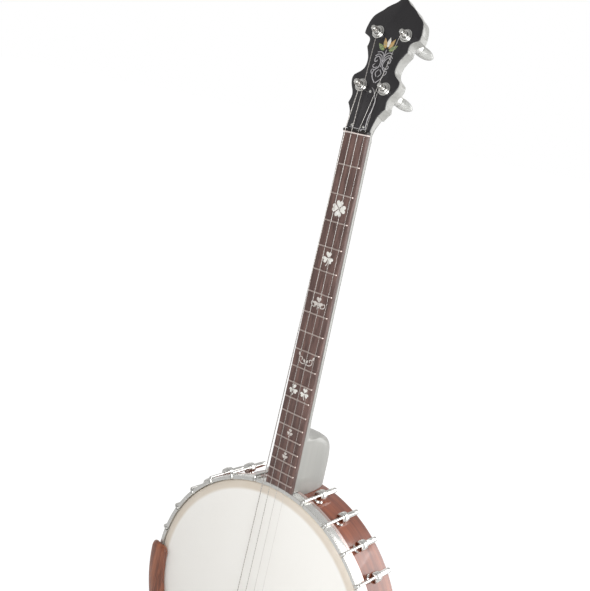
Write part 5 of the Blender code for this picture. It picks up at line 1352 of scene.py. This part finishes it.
@dataclass
class Pot:
    """Bent wooden rim, brass tone ring, film head, and the two hoops that stretch it."""

    layout: Layout
    film: float = 0.5
    head_front: float = 1.5
    skirt_end: float = 15.5
    flesh_front: float = 13.0
    flesh_back: float = 17.5
    tone_radius: float = 3.2
    tone_depth: float = 5.3
    groove: float = 0.45
    notch_half_width: float = 2.3
    notch_depth: float = 2.9

    def build(self) -> None:
        """Make the five rings."""
        layout, place = self.layout, self.layout.on_pot()
        inner, outer, front, back = layout.rim_inner, layout.rim_outer, layout.rim_front, layout.rim_back
        rim = turned([(inner, front), (outer, front), (outer, back), (inner, back)],
                     [0.8, 0.8, 1.6, 1.6], 5, 360, ring=True)
        piece("bent_rim", rim.placed(place), RIM_MAHOGANY, "rim")
        angle = np.linspace(0.0, 2.0 * np.pi, 28, endpoint=False)
        tone = np.stack([outer - self.tone_radius * (1.0 - np.cos(angle)),
                         self.tone_depth + self.tone_radius * np.sin(angle)], axis=1)
        piece("brass_tone_ring", revolve(tone, 240, ring=True).placed(place), BRASS, "tone_ring")
        piece("film_head", revolve(self.head_profile(), 360).placed(place), HEAD_FILM, "head",
              sharp=60.0)
        inner, outer, front, back = layout.hoop_inner, layout.hoop_outer, self.flesh_front, self.flesh_back
        flesh = turned([(inner, front), (outer, front), (outer, back), (inner, back)], 0.5, 3, 360, ring=True)
        piece("flesh_band", flesh.placed(place), ALUMINIUM, "flesh_hoop")
        self.build_hoop(place)

    def head_profile(self) -> np.ndarray:
        """Film from the middle over the shoulder to the skirt's end, and back under itself."""
        edge, front, film = self.layout.head_radius, self.head_front, self.film
        outer = np.array([(edge - 3.9, front), (edge - 1.2, front + 1.2), (edge, front + 4.0)])
        over = smooth([outer[0] - (8.0, 0.0), *outer, outer[-1] + (0.0, 6.0)], 8)
        under = over - film * np.stack([np.linspace(0.0, 1.0, len(over)),
                                        np.linspace(-1.0, 0.0, len(over))], axis=1)
        radii = np.linspace(0.0, over[0, 0], 9)[:-1]
        flat = np.stack([radii, np.full(len(radii), front)], axis=1)
        skirt = [(edge, self.skirt_end), (edge - film, self.skirt_end)]
        return np.vstack([flat, over, skirt, under[::-1], (flat + (0.0, film))[::-1]])

    def build_hoop(self, place: Callable[[np.ndarray], np.ndarray]) -> None:
        """Tension hoop with a thin groove behind its lip and a rounded notch for each hook."""
        inner, outer = self.layout.hoop_inner, self.layout.hoop_outer
        front, back, floor = self.layout.hoop_front, self.layout.hoop_back, outer - self.groove
        hoop = turned([(inner, back), (inner, front), (outer, front), (outer, front + 1.5),
                       (floor, front + 1.6), (floor, front + 2.0), (outer, front + 2.1), (outer, back)],
                      [0.3, 0.5, 0.7, 0.1, 0.05, 0.05, 0.1, 0.4], 4, 360, ring=True)
        half, end = self.notch_half_width, front + self.notch_depth
        outline = rounded([(-half, front - 3.0), (half, front - 3.0), (half, end), (-half, end)],
                          [0.2, 0.2, 1.4, 1.4], 5)
        notch = slab(outline, inner - 3.0, outer + 3.0, 0.1, 1).swapped(0, 2, 1)
        notches = [notch.placed(self.layout.on_pot(bearing)) for bearing in self.layout.beside_hoop()]
        piece("notched_tension_hoop", hoop.placed(place), CHROME_HOOP, "tension_hoop",
              cuts=[together(notches)], sharp=40.0)


@dataclass
class Bracket:
    """Hook over the hoop, the shoe on the rim that it runs through, its long nut, and the bolt."""

    layout: Layout
    number: int
    bearing: float
    hook_radius: float = 1.75
    hook_circle: float = 159.4
    hook_seat: float = 3.6
    shoe_depth: float = 34.5
    nut_radius: float = 3.4
    nut_start: float = 40.4
    nut_end: float = 62.4

    def build(self) -> None:
        """Make the four pieces of one bracket."""
        place = self.layout.on_pot(self.bearing)
        out = self.layout.outward(self.shoe_depth, self.bearing)
        parts = {"hook": (self.hook().placed(place), CHROME), "shoe": (self.shoe(place, out), CHROME),
                 "nut": (self.nut().placed(place), CHROME), "bolt": (self.bolt().placed(out), STEEL)}
        for name, (shape, finish) in parts.items():
            piece(f"{name}_{self.number:02d}", shape, finish, f"bracket_{self.number:02d}")

    def hook(self) -> Shape:
        """Round rod bent over the hoop's edge, its end rounded off inside the notch."""
        outer, circle, seat = self.layout.hoop_outer, self.hook_circle, self.hook_seat
        angle = np.linspace(0.0, 0.5 * np.pi, 12)
        bend = np.stack([0.0 * angle, outer + (circle - outer) * np.cos(angle),
                         seat - self.hook_radius * np.sin(angle)], axis=1)
        tail = [(0.0, circle, depth) for depth in (37.0, 28.0, 20.0, 12.0, 6.0)]
        tip = [(0.0, radius, seat - self.hook_radius) for radius in (155.2, 154.0, 153.5, 153.2)]
        radius = np.full(len(tail) + len(bend) + len(tip), self.hook_radius)
        radius[-3:] *= (0.97, 0.8, 0.45)
        return tube([*tail, *bend, *tip], radius, 18, (1.0, 0.0, 0.0))

    def shoe(self, place: Callable[[np.ndarray], np.ndarray],
             out: Callable[[np.ndarray], np.ndarray]) -> Shape:
        """Barrel with a bead at each end, on a flared foot.

        Args:
            place: rule for the barrel, which stands along the hook.
            out: rule for the foot, which runs outward.
        """
        half = [(4.4, 5.6), (5.4, 5.3), (5.7, 4.4), (5.2, 3.7), (5.9, 2.8), (6.05, 0.0)]
        profile = smooth([(0.0, 5.6), *half, *[(r, -h) for r, h in half[-2::-1]], (0.0, -5.6)], 4,
                         (1, 4, 8, 11))
        barrel = revolve(profile, 36).moved(0.0, self.hook_circle, self.shoe_depth).placed(place)
        foot = turned([(0.0, 157.5), (3.9, 157.5), (3.9, 153.4), (5.2, 151.8), (5.2, 150.8), (0.0, 150.8)],
                      [0, 0.3, 1.4, 0.6, 0.3, 0], 4, 32)
        return together([barrel, foot.placed(out)])

    def nut(self) -> Shape:
        """Collar, hexagon and a narrower round end that is drilled through."""
        radius, start, end = self.nut_radius, self.nut_start, self.nut_end
        collar = turned([(0.0, start), (radius, start), (radius, start + 1.2), (0.0, start + 1.2)],
                        [0, 0.3, 0.3, 0], 3, 32)
        tip = turned([(0.0, end - 5.6), (2.9, end - 5.6), (2.9, end), (2.0, end), (2.0, end - 3.0),
                      (0.0, end - 3.0)], [0, 0.1, 0.6, 0.2, 0.1, 0], 3, 32)
        middle = hexagon(radius, start + 1.2, end - 5.4, 0.4)
        return together([collar, middle, tip]).moved(0.0, self.hook_circle)

    def bolt(self) -> Shape:
        """Hexagonal head on a washer inside the rim, with its shank through the wood."""
        return together([peg(2.0, 136.5, 153.0, 24, 0.2), peg(5.4, 136.9, 137.8, 32, 0.2),
                         hexagon(4.4, 135.05, 136.95, 0.4)])


@dataclass
class CoordinatorRod:
    """Rod across the pot, with its lag screw in the heel, jam nut and end bolt."""

    layout: Layout
    radius: float = 4.8
    lag_radius: float = 3.0
    nut_radius: float = 7.5
    nut_thickness: float = 5.0
    nut_seat: float = 137.28
    tail_seat: float = -153.5
    tail_head: float = 3.2

    def build(self) -> None:
        """Make the rod, the screw at each end and the jam nut."""
        seat, tail = self.nut_seat, self.tail_seat
        end = [peg(self.lag_radius, tail, -136.0, 32, 0.3), hexagon(6.0, tail - self.tail_head, tail, 0.5)]
        parts = {"rod_tube": (peg(self.radius, -seat, 132.2, 40, 0.5), STEEL),
                 "lag_screw": (peg(self.lag_radius, 131.0, 180.5, 32, 0.8), STEEL),
                 "jam_nut": (hexagon(self.nut_radius, seat - self.nut_thickness, seat, 0.6), CHROME),
                 "end_bolt": (together(end), CHROME)}
        for name, (shape, finish) in parts.items():
            piece(name, shape.placed(self.layout.outward(self.layout.rod_depth)), finish,
                  "coordinator_rod")


# Tailpiece, bridge and strings

@dataclass
class Tailpiece:
    """Stamped plate with string pegs, its hinged cover, and the bracket that pulls it down."""

    layout: Layout
    half_width: float = 21.5
    length: float = 56.0
    back: float = -1.1
    thickness: float = 2.0
    hinge_y: float = -6.6
    hinge_drop: float = 147.4
    barrel_radius: float = 3.2
    pin_radius: float = 1.4
    peg_radius: float = 1.5
    peg_place: float = 22.0
    hanger_drop: float = 162.5
    hanger_radius: float = 2.3
    hanger_half: float = 9.0
    lug_half: float = 4.0

    def build(self) -> None:
        """Make the plate, the cover and the hanger."""
        hinge = self.layout.pot_z - self.hinge_drop
        hanger = self.layout.pot_z - self.hanger_drop
        self.build_base(hinge, hanger)
        self.build_cover(hinge)
        self.build_hanger(hanger)

    def on_pin(self, hinge: float) -> Callable[[np.ndarray], np.ndarray]:
        """Rule for shapes made about Z whose axis becomes the hinge pin."""
        return lambda p: np.stack([p[:, 2], self.hinge_y + p[:, 0], hinge + p[:, 1]], axis=1)

    def build_base(self, hinge: float, hanger: float) -> None:
        """Plate with its ear, lugs, pegs and pin.

        Args:
            hinge: height of the pin.
            hanger: height of the bolt.
        """
        layout, node, place = self.layout, "tailpiece_base", self.layout.on_board
        half, top, ear = self.half_width, hinge + self.length, self.hanger_radius + 3.0
        right = [(ear, hanger - ear), (ear, hinge - 6.0), (half, hinge + 8.0), (half, top - 3.0),
                 (half - 3.0, top)]
        radii = [4.0, 3.0, 3.0, 2.0, 2.0]
        outline = rounded(mirrored(right), [*radii, *radii[::-1]], 6)
        plate = slab(outline, -self.back, self.thickness - self.back, 0.5, 4)
        hole = peg(self.hanger_radius + 0.4, -20.0, 20.0, 32).moved(0.0, hanger)
        piece("tailpiece_plate", plate.placed(place), CHROME, node, cuts=[hole.placed(place)])
        lug = rounded([(-3.2, -3.2), (3.9, -3.2), (3.9, 3.2), (-3.2, 3.2)], [3.0, 0.4, 0.4, 3.0], 6)
        for number, side in enumerate(SIDES, 1):
            x = side * (half - self.lug_half - 1.0)
            piece(f"hinge_lug_{number}", slab(lug, x - self.lug_half, x + self.lug_half, 0.4, 3)
                  .placed(self.on_pin(hinge)), CHROME, node)
        pin = peg(self.pin_radius, -half + 1.2, half - 1.2, 24, 0.5)
        piece("hinge_pin", pin.placed(self.on_pin(hinge)), STEEL, node)
        radius = self.peg_radius
        post = turned([(0.0, 2.6), (radius, 2.6), (radius, 6.9), (radius, 7.7), (0.0, 7.7)],
                      [0, 0.1, 0.1, 0.5, 0], 3, 28)
        for index in range(len(layout.gauges)):
            x = layout.string_x(index, -layout.scale_length)
            piece(f"string_peg_{index + 1}", post.moved(x, hinge + self.peg_place).placed(place),
                  CHROME, node)

    def build_cover(self, hinge: float) -> None:
        """Cover plate on its barrel, joined to it by a web."""
        half, tip, pin = self.half_width, self.length - 1.0, self.on_pin(hinge)
        inner = half - 2.0 * self.lug_half - 1.5
        right = [(inner, 0.0), (inner, 7.0), (half, 10.0), (half, tip - 7.0), (half - 5.0, tip)]
        radii = [0.5, 1.5, 3.0, 3.0, 4.0]
        outline = rounded(mirrored(right), [*radii, *radii[::-1]], 6)
        plate = slab(outline, 9.1, 10.6, 0.5, 4).moved(0.0, hinge).placed(self.layout.on_board)
        bore = peg(self.pin_radius + 0.4, -30.0, 30.0, 28).placed(pin)
        barrel = peg(self.barrel_radius, -inner, inner, 40).placed(pin)
        web = block((-inner + 0.2, -9.9, hinge - 1.4), (inner - 0.2, -7.0, hinge + 1.4), 0.4)
        piece("tailpiece_lid_plate", plate, CHROME, "tailpiece_cover", body="tailpiece_lid",
              joins=[web, barrel], cuts=[bore])

    def build_hanger(self, hanger: float) -> None:
        """Bent bracket on the rod's end bolt, with the bolt and nut that hold the plate."""
        layout, node, width = self.layout, "tailpiece_hanger", self.hanger_half
        wall, shelf, thick = layout.pot_z - layout.rim_outer - layout.gap, layout.rod_depth - 14.0, 2.4
        back, out = layout.rod_depth + 8.0, hanger - self.hanger_radius - 3.5
        outline = rounded([(wall, shelf), (wall, back), (wall - thick, back), (wall - thick, shelf + thick),
                           (out, shelf + thick), (out, shelf)], [2.4, 0.4, 0.4, 0.5, 0.4, 0.4], 5)
        hole = peg(3.4, -170.0, -148.0, 28).placed(layout.outward(layout.rod_depth))
        piece("tailpiece_bracket", slab(outline, -width, width, 0.5, 3).swapped(2, 1, 0), CHROME, node,
              cuts=[hole])
        seat, low, high = 3.4, -(shelf + thick + 4.0), -(shelf + thick)
        bolt = turned([(0.0, seat + 2.6), (4.4, seat + 2.6), (4.4, seat), (self.hanger_radius, seat),
                       (self.hanger_radius, low - 1.5), (0.0, low - 1.5)],
                      [0, 1.2, 0.3, 0.1, 0.5, 0], 4, 36)
        for name, shape in (("tailpiece_bolt", bolt), ("tailpiece_nut", hexagon(4.6, low, high, 0.4))):
            piece(name, shape.moved(0.0, hanger).placed(layout.on_board), CHROME, node)


@dataclass
class Bridge:
    """Three-footed maple bridge with an ebony top."""

    layout: Layout
    foot_y: float = 1.2
    line_y: float = -12.1
    slot_depth: float = 0.9
    half_length: float = 33.0
    crown_half: float = 25.0
    foot_half_thickness: float = 3.6
    top_half_thickness: float = 1.4
    cap: float = 1.3
    # Each arch's underside: share of its span, and of the bridge's height
    arch: tuple[tuple[float, float], ...] = ((0.0, 0.0), (0.093, 0.30), (0.279, 0.48),
                                             (0.674, 0.48), (0.884, 0.30), (1.0, 0.0))

    def build(self) -> None:
        """Make the arched body and its slotted cap."""
        layout, place = self.layout, -self.layout.scale_length
        height = self.foot_y - (self.line_y + layout.gauges[0] / 2.0 - self.slot_depth)
        end, crown, middle = self.half_length, self.crown_half, 3.5
        span = end - 8.0 - middle
        under = [(middle + share * span, rise * height) for share, rise in self.arch]
        shoulder, body_top = crown + 0.25 * (end - crown), height - self.cap
        side = [(end, 0.0), (end, 0.22 * height), (shoulder, 0.7 * height), (crown + 0.4, body_top)]
        half = rounded([(0.0, 0.0), *under, *side],
                       [0.0, 0.4, 2.0, 3.0, 3.0, 2.0, 0.4, 0.4, 1.2, 3.0, 0.2], 5, closed=False)[1:]
        body = slab(mirrored(half), -1.0, 1.0, 0.1, 2)
        top = slab(rounded([(-crown, body_top), (crown, body_top), (crown - 0.3, height),
                            (-crown + 0.3, height)], 0.4, 3), -1.0, 1.0, 0.2, 3)

        def lean(points: np.ndarray) -> np.ndarray:
            """Thickness runs evenly from the feet's to the top's."""
            share = points[:, 1] / height
            thick = self.foot_half_thickness + share * (self.top_half_thickness - self.foot_half_thickness)
            return np.stack([points[:, 0], self.foot_y - points[:, 1], points[:, 2] * thick + place], axis=1)
        floors = [self.line_y + gauge / 2.0 + 0.05 for gauge in layout.gauges]
        slots = layout.string_slots(place, -20.0, floors, (place - 5.0, place + 5.0), 0.1)
        piece("bridge_body", body.placed(lean), BRIDGE_MAPLE, "bridge", cuts=slots)
        piece("bridge_cap", top.placed(lean), EBONY, "bridge", cuts=slots)


@dataclass
class Strings:
    """Four strings from their loops on the tailpiece's pegs to their turns round the posts."""

    layout: Layout
    wound: int = 2
    turns: tuple[int, ...] = (2, 2, 3, 3)
    order: tuple[int, ...] = (0, 2, 3, 1)
    points_each_turn: int = 28
    post_radius: float = 2.5
    peg_drop: float = 125.4
    peg_radius: float = 1.8
    tail_y: float = -5.4
    bridge_y: float = -12.02
    nut_y: float = -1.0
    nut_end: float = 4.2

    def build(self) -> None:
        """Make each string along its own path."""
        for index, gauge in enumerate(self.layout.gauges):
            finish = WOUND_STRING if index < self.wound else PLAIN_STRING
            piece(f"banjo_string_{index + 1}", tube(self.path(index), gauge / 2.0, 12), finish,
                  f"string_{index + 1}", sharp=60.0)

    def path(self, index: int) -> np.ndarray:
        """Round the peg, over the bridge and the nut, then round the post."""
        layout, radius = self.layout, self.layout.gauges[index] / 2.0
        x, x_nut = layout.string_x(index, -layout.scale_length), layout.string_x(index, 0.0)
        peg_z, loop = layout.pot_z - self.peg_drop, self.peg_radius + radius
        tail_y, nut_y = self.tail_y, self.nut_y - radius
        angle = np.linspace(np.pi, 2.0 * np.pi, 15)
        around = np.stack([x + loop * np.cos(angle), np.full(15, tail_y), peg_z + loop * np.sin(angle)],
                          axis=1)
        run = [(x + 0.3 * loop, tail_y, peg_z + 7.0), (x, tail_y, peg_z + 12.0),
               (x, self.bridge_y, -layout.scale_length), (x_nut, nut_y, 0.0), (x_nut, nut_y, self.nut_end)]
        return np.vstack([[(x - loop, tail_y, peg_z + 5.0)], around, run, self.winding(index)])

    def winding(self, index: int) -> np.ndarray:
        """Turns that rise along the post, starting where the string arrives."""
        layout, gauge = self.layout, self.layout.gauges[index]
        x, station = layout.tuners[self.order[index]]
        reach, count = self.post_radius + gauge / 2.0, self.turns[index] * self.points_each_turn
        turn = np.linspace(0.0, 2.0 * np.pi * self.turns[index], count + 1)
        bearing = np.pi - turn if x > 0.0 else turn
        height = 6.4 + gauge / 2.0 + (gauge + 0.5) * turn / (2.0 * np.pi)
        place = np.stack([x + reach * np.cos(bearing), station + reach * np.sin(bearing), height], axis=1)
        return layout.on_headstock(place)


@dataclass
class Armrest:
    """Arched wooden rest along the hoop on the player's forearm side, on two clamps."""

    layout: Layout
    start: float = 88.03
    end: float = 151.8
    clamp_places: tuple[float, ...] = (7.5, 10.5)
    clamp_half: float = 7.0
    inner: float = 139.2
    outer: float = 167.0
    thickness: float = 6.0
    underside: float = 0.8
    end_sections: int = 12
    middle_sections: int = 60
    end_angle: float = 0.056

    def build(self) -> None:
        """Make the rest and its clamps."""
        inner, outer, low, thick = self.inner, self.outer, self.underside, self.thickness
        width, top = outer - inner, low + thick
        section = rounded([(inner, low), (inner, low + 0.7 * thick), (inner + 0.22 * width, top),
                           (inner + 0.6 * width, top), (outer - 0.1 * width, low + 0.55 * thick),
                           (outer, low - 0.9), (outer - 6.5, low)], [0.4, 1.6, 4.0, 6.0, 3.5, 0.3, 1.0], 6)
        ends, run = self.end_sections, self.middle_sections
        share = np.concatenate([np.zeros(ends), np.linspace(0.0, 1.0, run), np.ones(ends)])
        past = np.concatenate([np.linspace(1.0, 0.05, ends), np.zeros(run), np.linspace(0.05, 1.0, ends)])
        sign = np.where(np.arange(len(share)) < ends, -1.0, 1.0)
        # An end is a quarter of an ellipse: past its flat part by share p, it keeps sqrt(1 - p * p)
        shrink = (0.4 + 0.6 * np.sqrt(np.maximum(1.0 - past ** 2, 0.0)))[:, None]
        bearing = np.radians(self.start + (self.end - self.start) * share) + sign * past * self.end_angle
        middle = 0.5 * (inner + outer)
        radius = middle + (section[:, 0] - middle) * shrink
        height = low + (section[:, 1] - low) * (0.3 + 0.7 * shrink)
        points = np.stack([-radius * np.sin(bearing)[:, None], radius * np.cos(bearing)[:, None],
                           -height], axis=-1)
        piece("wooden_armrest", grid(points, caps=True).placed(self.layout.on_pot()), ARMREST_WALNUT,
              "armrest", sharp=50.0)
        for number, share in enumerate(self.clamp_places, 1):
            piece(f"armrest_clamp_{number}", self.clamp(-share * 360.0 / self.layout.bracket_places),
                  CHROME, "armrest")

    def clamp(self, bearing: float) -> Shape:
        """Strap from under the rest, over the hoop, to a hook under the flesh band.

        Args:
            bearing: degrees clockwise from the neck.
        """
        top, under, half = -self.underside - 0.4, -self.underside + 1.5, self.clamp_half
        outline = rounded([(143.7, top), (143.7, under), (157.3, under), (157.3, 17.8), (151.5, 17.8),
                           (151.5, 19.3), (158.8, 19.3), (158.8, top)],
                          [0.3, 0.3, 0.5, 0.5, 0.3, 0.3, 1.5, 0.5], 4)
        return slab(outline, -half, half, 0.3, 3).swapped(2, 0, 1).placed(self.layout.on_pot(bearing))


# Studio

@dataclass
class Studio:
    """The photograph's camera, a pale floor, the surroundings and three soft lights."""

    camera_place: tuple[float, float, float] = (514.44232, -757.514854, 11.7337296)
    yaw: float = 0.624766544
    pitch: float = -0.203686509
    roll: float = 0.209275057
    focal_length: float = 53.745
    floor_half: float = 60000.0

    def build(self, floor_height: float) -> None:
        """Set the camera, the light and the floor, whose height is in metres."""
        scene = bpy.context.scene
        scene.view_settings.view_transform = "Standard"
        self.build_camera(scene)
        self.build_world(scene)
        self.build_floor(scene, floor_height)
        self.light("key_softbox", (0.42, -0.6, -0.1), (0.0, 0.0, -0.35), 0.6, 4.6)
        self.light("back_softbox", (1.05, 1.4, -0.42), (0.1, 0.0, -0.5), 1.5, 14.0)
        self.light("floor_softbox", (1.2, 1.6, 0.9), (0.5, 0.8, -0.7), 1.0, 10.0)

    def build_camera(self, scene: bpy.types.Scene) -> None:
        """Camera with the measured place, direction and roll."""
        forward = Vector((-math.sin(self.yaw) * math.cos(self.pitch),
                          math.cos(self.yaw) * math.cos(self.pitch), math.sin(self.pitch)))
        level = forward.cross(Vector((0.0, 0.0, 1.0))).normalized()
        above = level.cross(forward)
        right = math.cos(self.roll) * level + math.sin(self.roll) * above
        up = math.cos(self.roll) * above - math.sin(self.roll) * level
        data = bpy.data.cameras.new("photo_camera")
        data.lens = self.focal_length
        data.clip_start = 0.01
        camera = bpy.data.objects.new("photo_camera", data)
        turn = Matrix((right, up, -forward)).transposed().to_4x4()
        camera.matrix_world = Matrix.Translation(Vector(self.camera_place) * MM) @ turn
        scene.collection.objects.link(camera)
        scene.camera = camera

    def build_world(self, scene: bpy.types.Scene) -> None:
        """White to the camera; to the object, paper walls, dim above and on the camera's side."""
        world = bpy.data.worlds.new("studio_surroundings")
        world.use_nodes = True
        tree = world.node_tree
        tree.nodes.clear()
        where = add(tree, "TexCoord").outputs["Generated"]
        facing = add(tree, "VectorMath", {0: where, 1: (-0.6, 0.8, 0.0)}, operation="DOT_PRODUCT")
        wall = add(tree, "MapRange", {"Value": facing.outputs["Value"], "From Min": -0.9,
                                      "From Max": 0.2, "To Min": 0.35, "To Max": 0.9})
        # Above the paper walls the room is dim
        height = add(tree, "SeparateXYZ", {0: where}).outputs["Z"]
        ceiling = add(tree, "MapRange", {"Value": height, "From Min": 0.36, "From Max": 0.5,
                                         "To Min": 1.0, "To Max": 0.55}, interpolation_type="SMOOTHSTEP")
        # The photographer's side is a dark gap between the walls
        behind = add(tree, "VectorMath", {0: where, 1: (0.55, -0.83, 0.06)}, operation="DOT_PRODUCT")
        gap = add(tree, "MapRange", {"Value": behind.outputs["Value"], "From Min": 0.9, "From Max": 0.96,
                                     "To Min": 1.0, "To Max": 0.2})
        both = add(tree, "Math", {0: gap.outputs[0], 1: ceiling.outputs[0]}, operation="MULTIPLY")
        strength = add(tree, "Math", {0: wall.outputs[0], 1: both.outputs[0]}, operation="MULTIPLY")
        around = add(tree, "Background", {"Color": (1.0, 0.985, 0.97, 1.0),
                                          "Strength": strength.outputs[0]})
        white = add(tree, "Background", {"Color": (1.0, 1.0, 1.0, 1.0), "Strength": 1.0})
        seen = add(tree, "LightPath").outputs["Is Camera Ray"]
        mixed = add(tree, "MixShader", {0: seen, 1: around.outputs[0], 2: white.outputs[0]})
        add(tree, "OutputWorld", {"Surface": mixed.outputs[0]})
        scene.world = world

    def build_floor(self, scene: bpy.types.Scene, height: float) -> None:
        """Wide plane that looks white to the camera but still takes a shadow."""
        corners = self.floor_half * np.array([(-1, -1, 0), (1, -1, 0), (1, 1, 0), (-1, 1, 0)])
        mesh = mesh_of(Shape(corners, [[0, 1, 2, 3]]), "studio_floor")
        material = bpy.data.materials.new("pale_studio_paper")
        material.use_nodes = True
        tree = material.node_tree
        tree.nodes.clear()
        plain = add(tree, "BsdfDiffuse", {"Color": (0.85, 0.85, 0.85, 1.0)})
        shaded = add(tree, "BsdfDiffuse", {"Color": (0.22, 0.22, 0.22, 1.0)})
        glow = add(tree, "Emission", {"Color": (1.0, 1.0, 1.0, 1.0), "Strength": 0.93})
        lit = add(tree, "AddShader", {0: shaded.outputs[0], 1: glow.outputs[0]})
        seen = add(tree, "LightPath").outputs["Is Camera Ray"]
        mixed = add(tree, "MixShader", {0: seen, 1: plain.outputs[0], 2: lit.outputs[0]})
        add(tree, "OutputMaterial", {"Surface": mixed.outputs[0]})
        mesh.materials.append(material)
        floor = bpy.data.objects.new("studio_floor", mesh)
        floor.location.z = height
        scene.collection.objects.link(floor)
        floor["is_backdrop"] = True

    def light(self, name: str, place: Sequence[float], target: Sequence[float], size: float,
              power: float) -> None:
        """Square area light in metres and watts, turned to a target and unseen by the camera.

        Args:
            name: the light's name.
            place: where it is.
            target: what it faces.
            size: length of its side.
            power: its watts.
        """
        data = bpy.data.lights.new(name, "AREA")
        data.size = size
        data.energy = power
        made = bpy.data.objects.new(name, data)
        made.location = place
        made.rotation_euler = (Vector(target) - Vector(place)).to_track_quat("-Z", "Y").to_euler()
        made.visible_camera = False
        bpy.context.scene.collection.objects.link(made)


def corners_of(box: Sequence) -> list[list[float]]:
    """A box's two corners as plain numbers."""
    return [[float(value) for value in corner] for corner in box]


def main() -> None:
    """Build the banjo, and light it."""
    logging.basicConfig(level=logging.INFO, format="%(name)s: %(message)s")
    cad_box = corners_of(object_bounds())
    layout = Layout()
    Neck(layout).build()
    HeadstockFace(layout).build()
    Fingerboard(layout).build()
    for number, (x, station) in enumerate(layout.tuners, 1):
        Tuner(layout, number, x, station).build()
    Pot(layout).build()
    for number, bearing in enumerate(layout.beside_hoop(), 1):
        Bracket(layout, number, bearing).build()
    CoordinatorRod(layout).build()
    Tailpiece(layout).build()
    Bridge(layout).build()
    Strings(layout).build()
    Armrest(layout).build()
    Studio().build(cad_box[0][2] - 0.5 * MM)


if __name__ == "__main__":
    main()
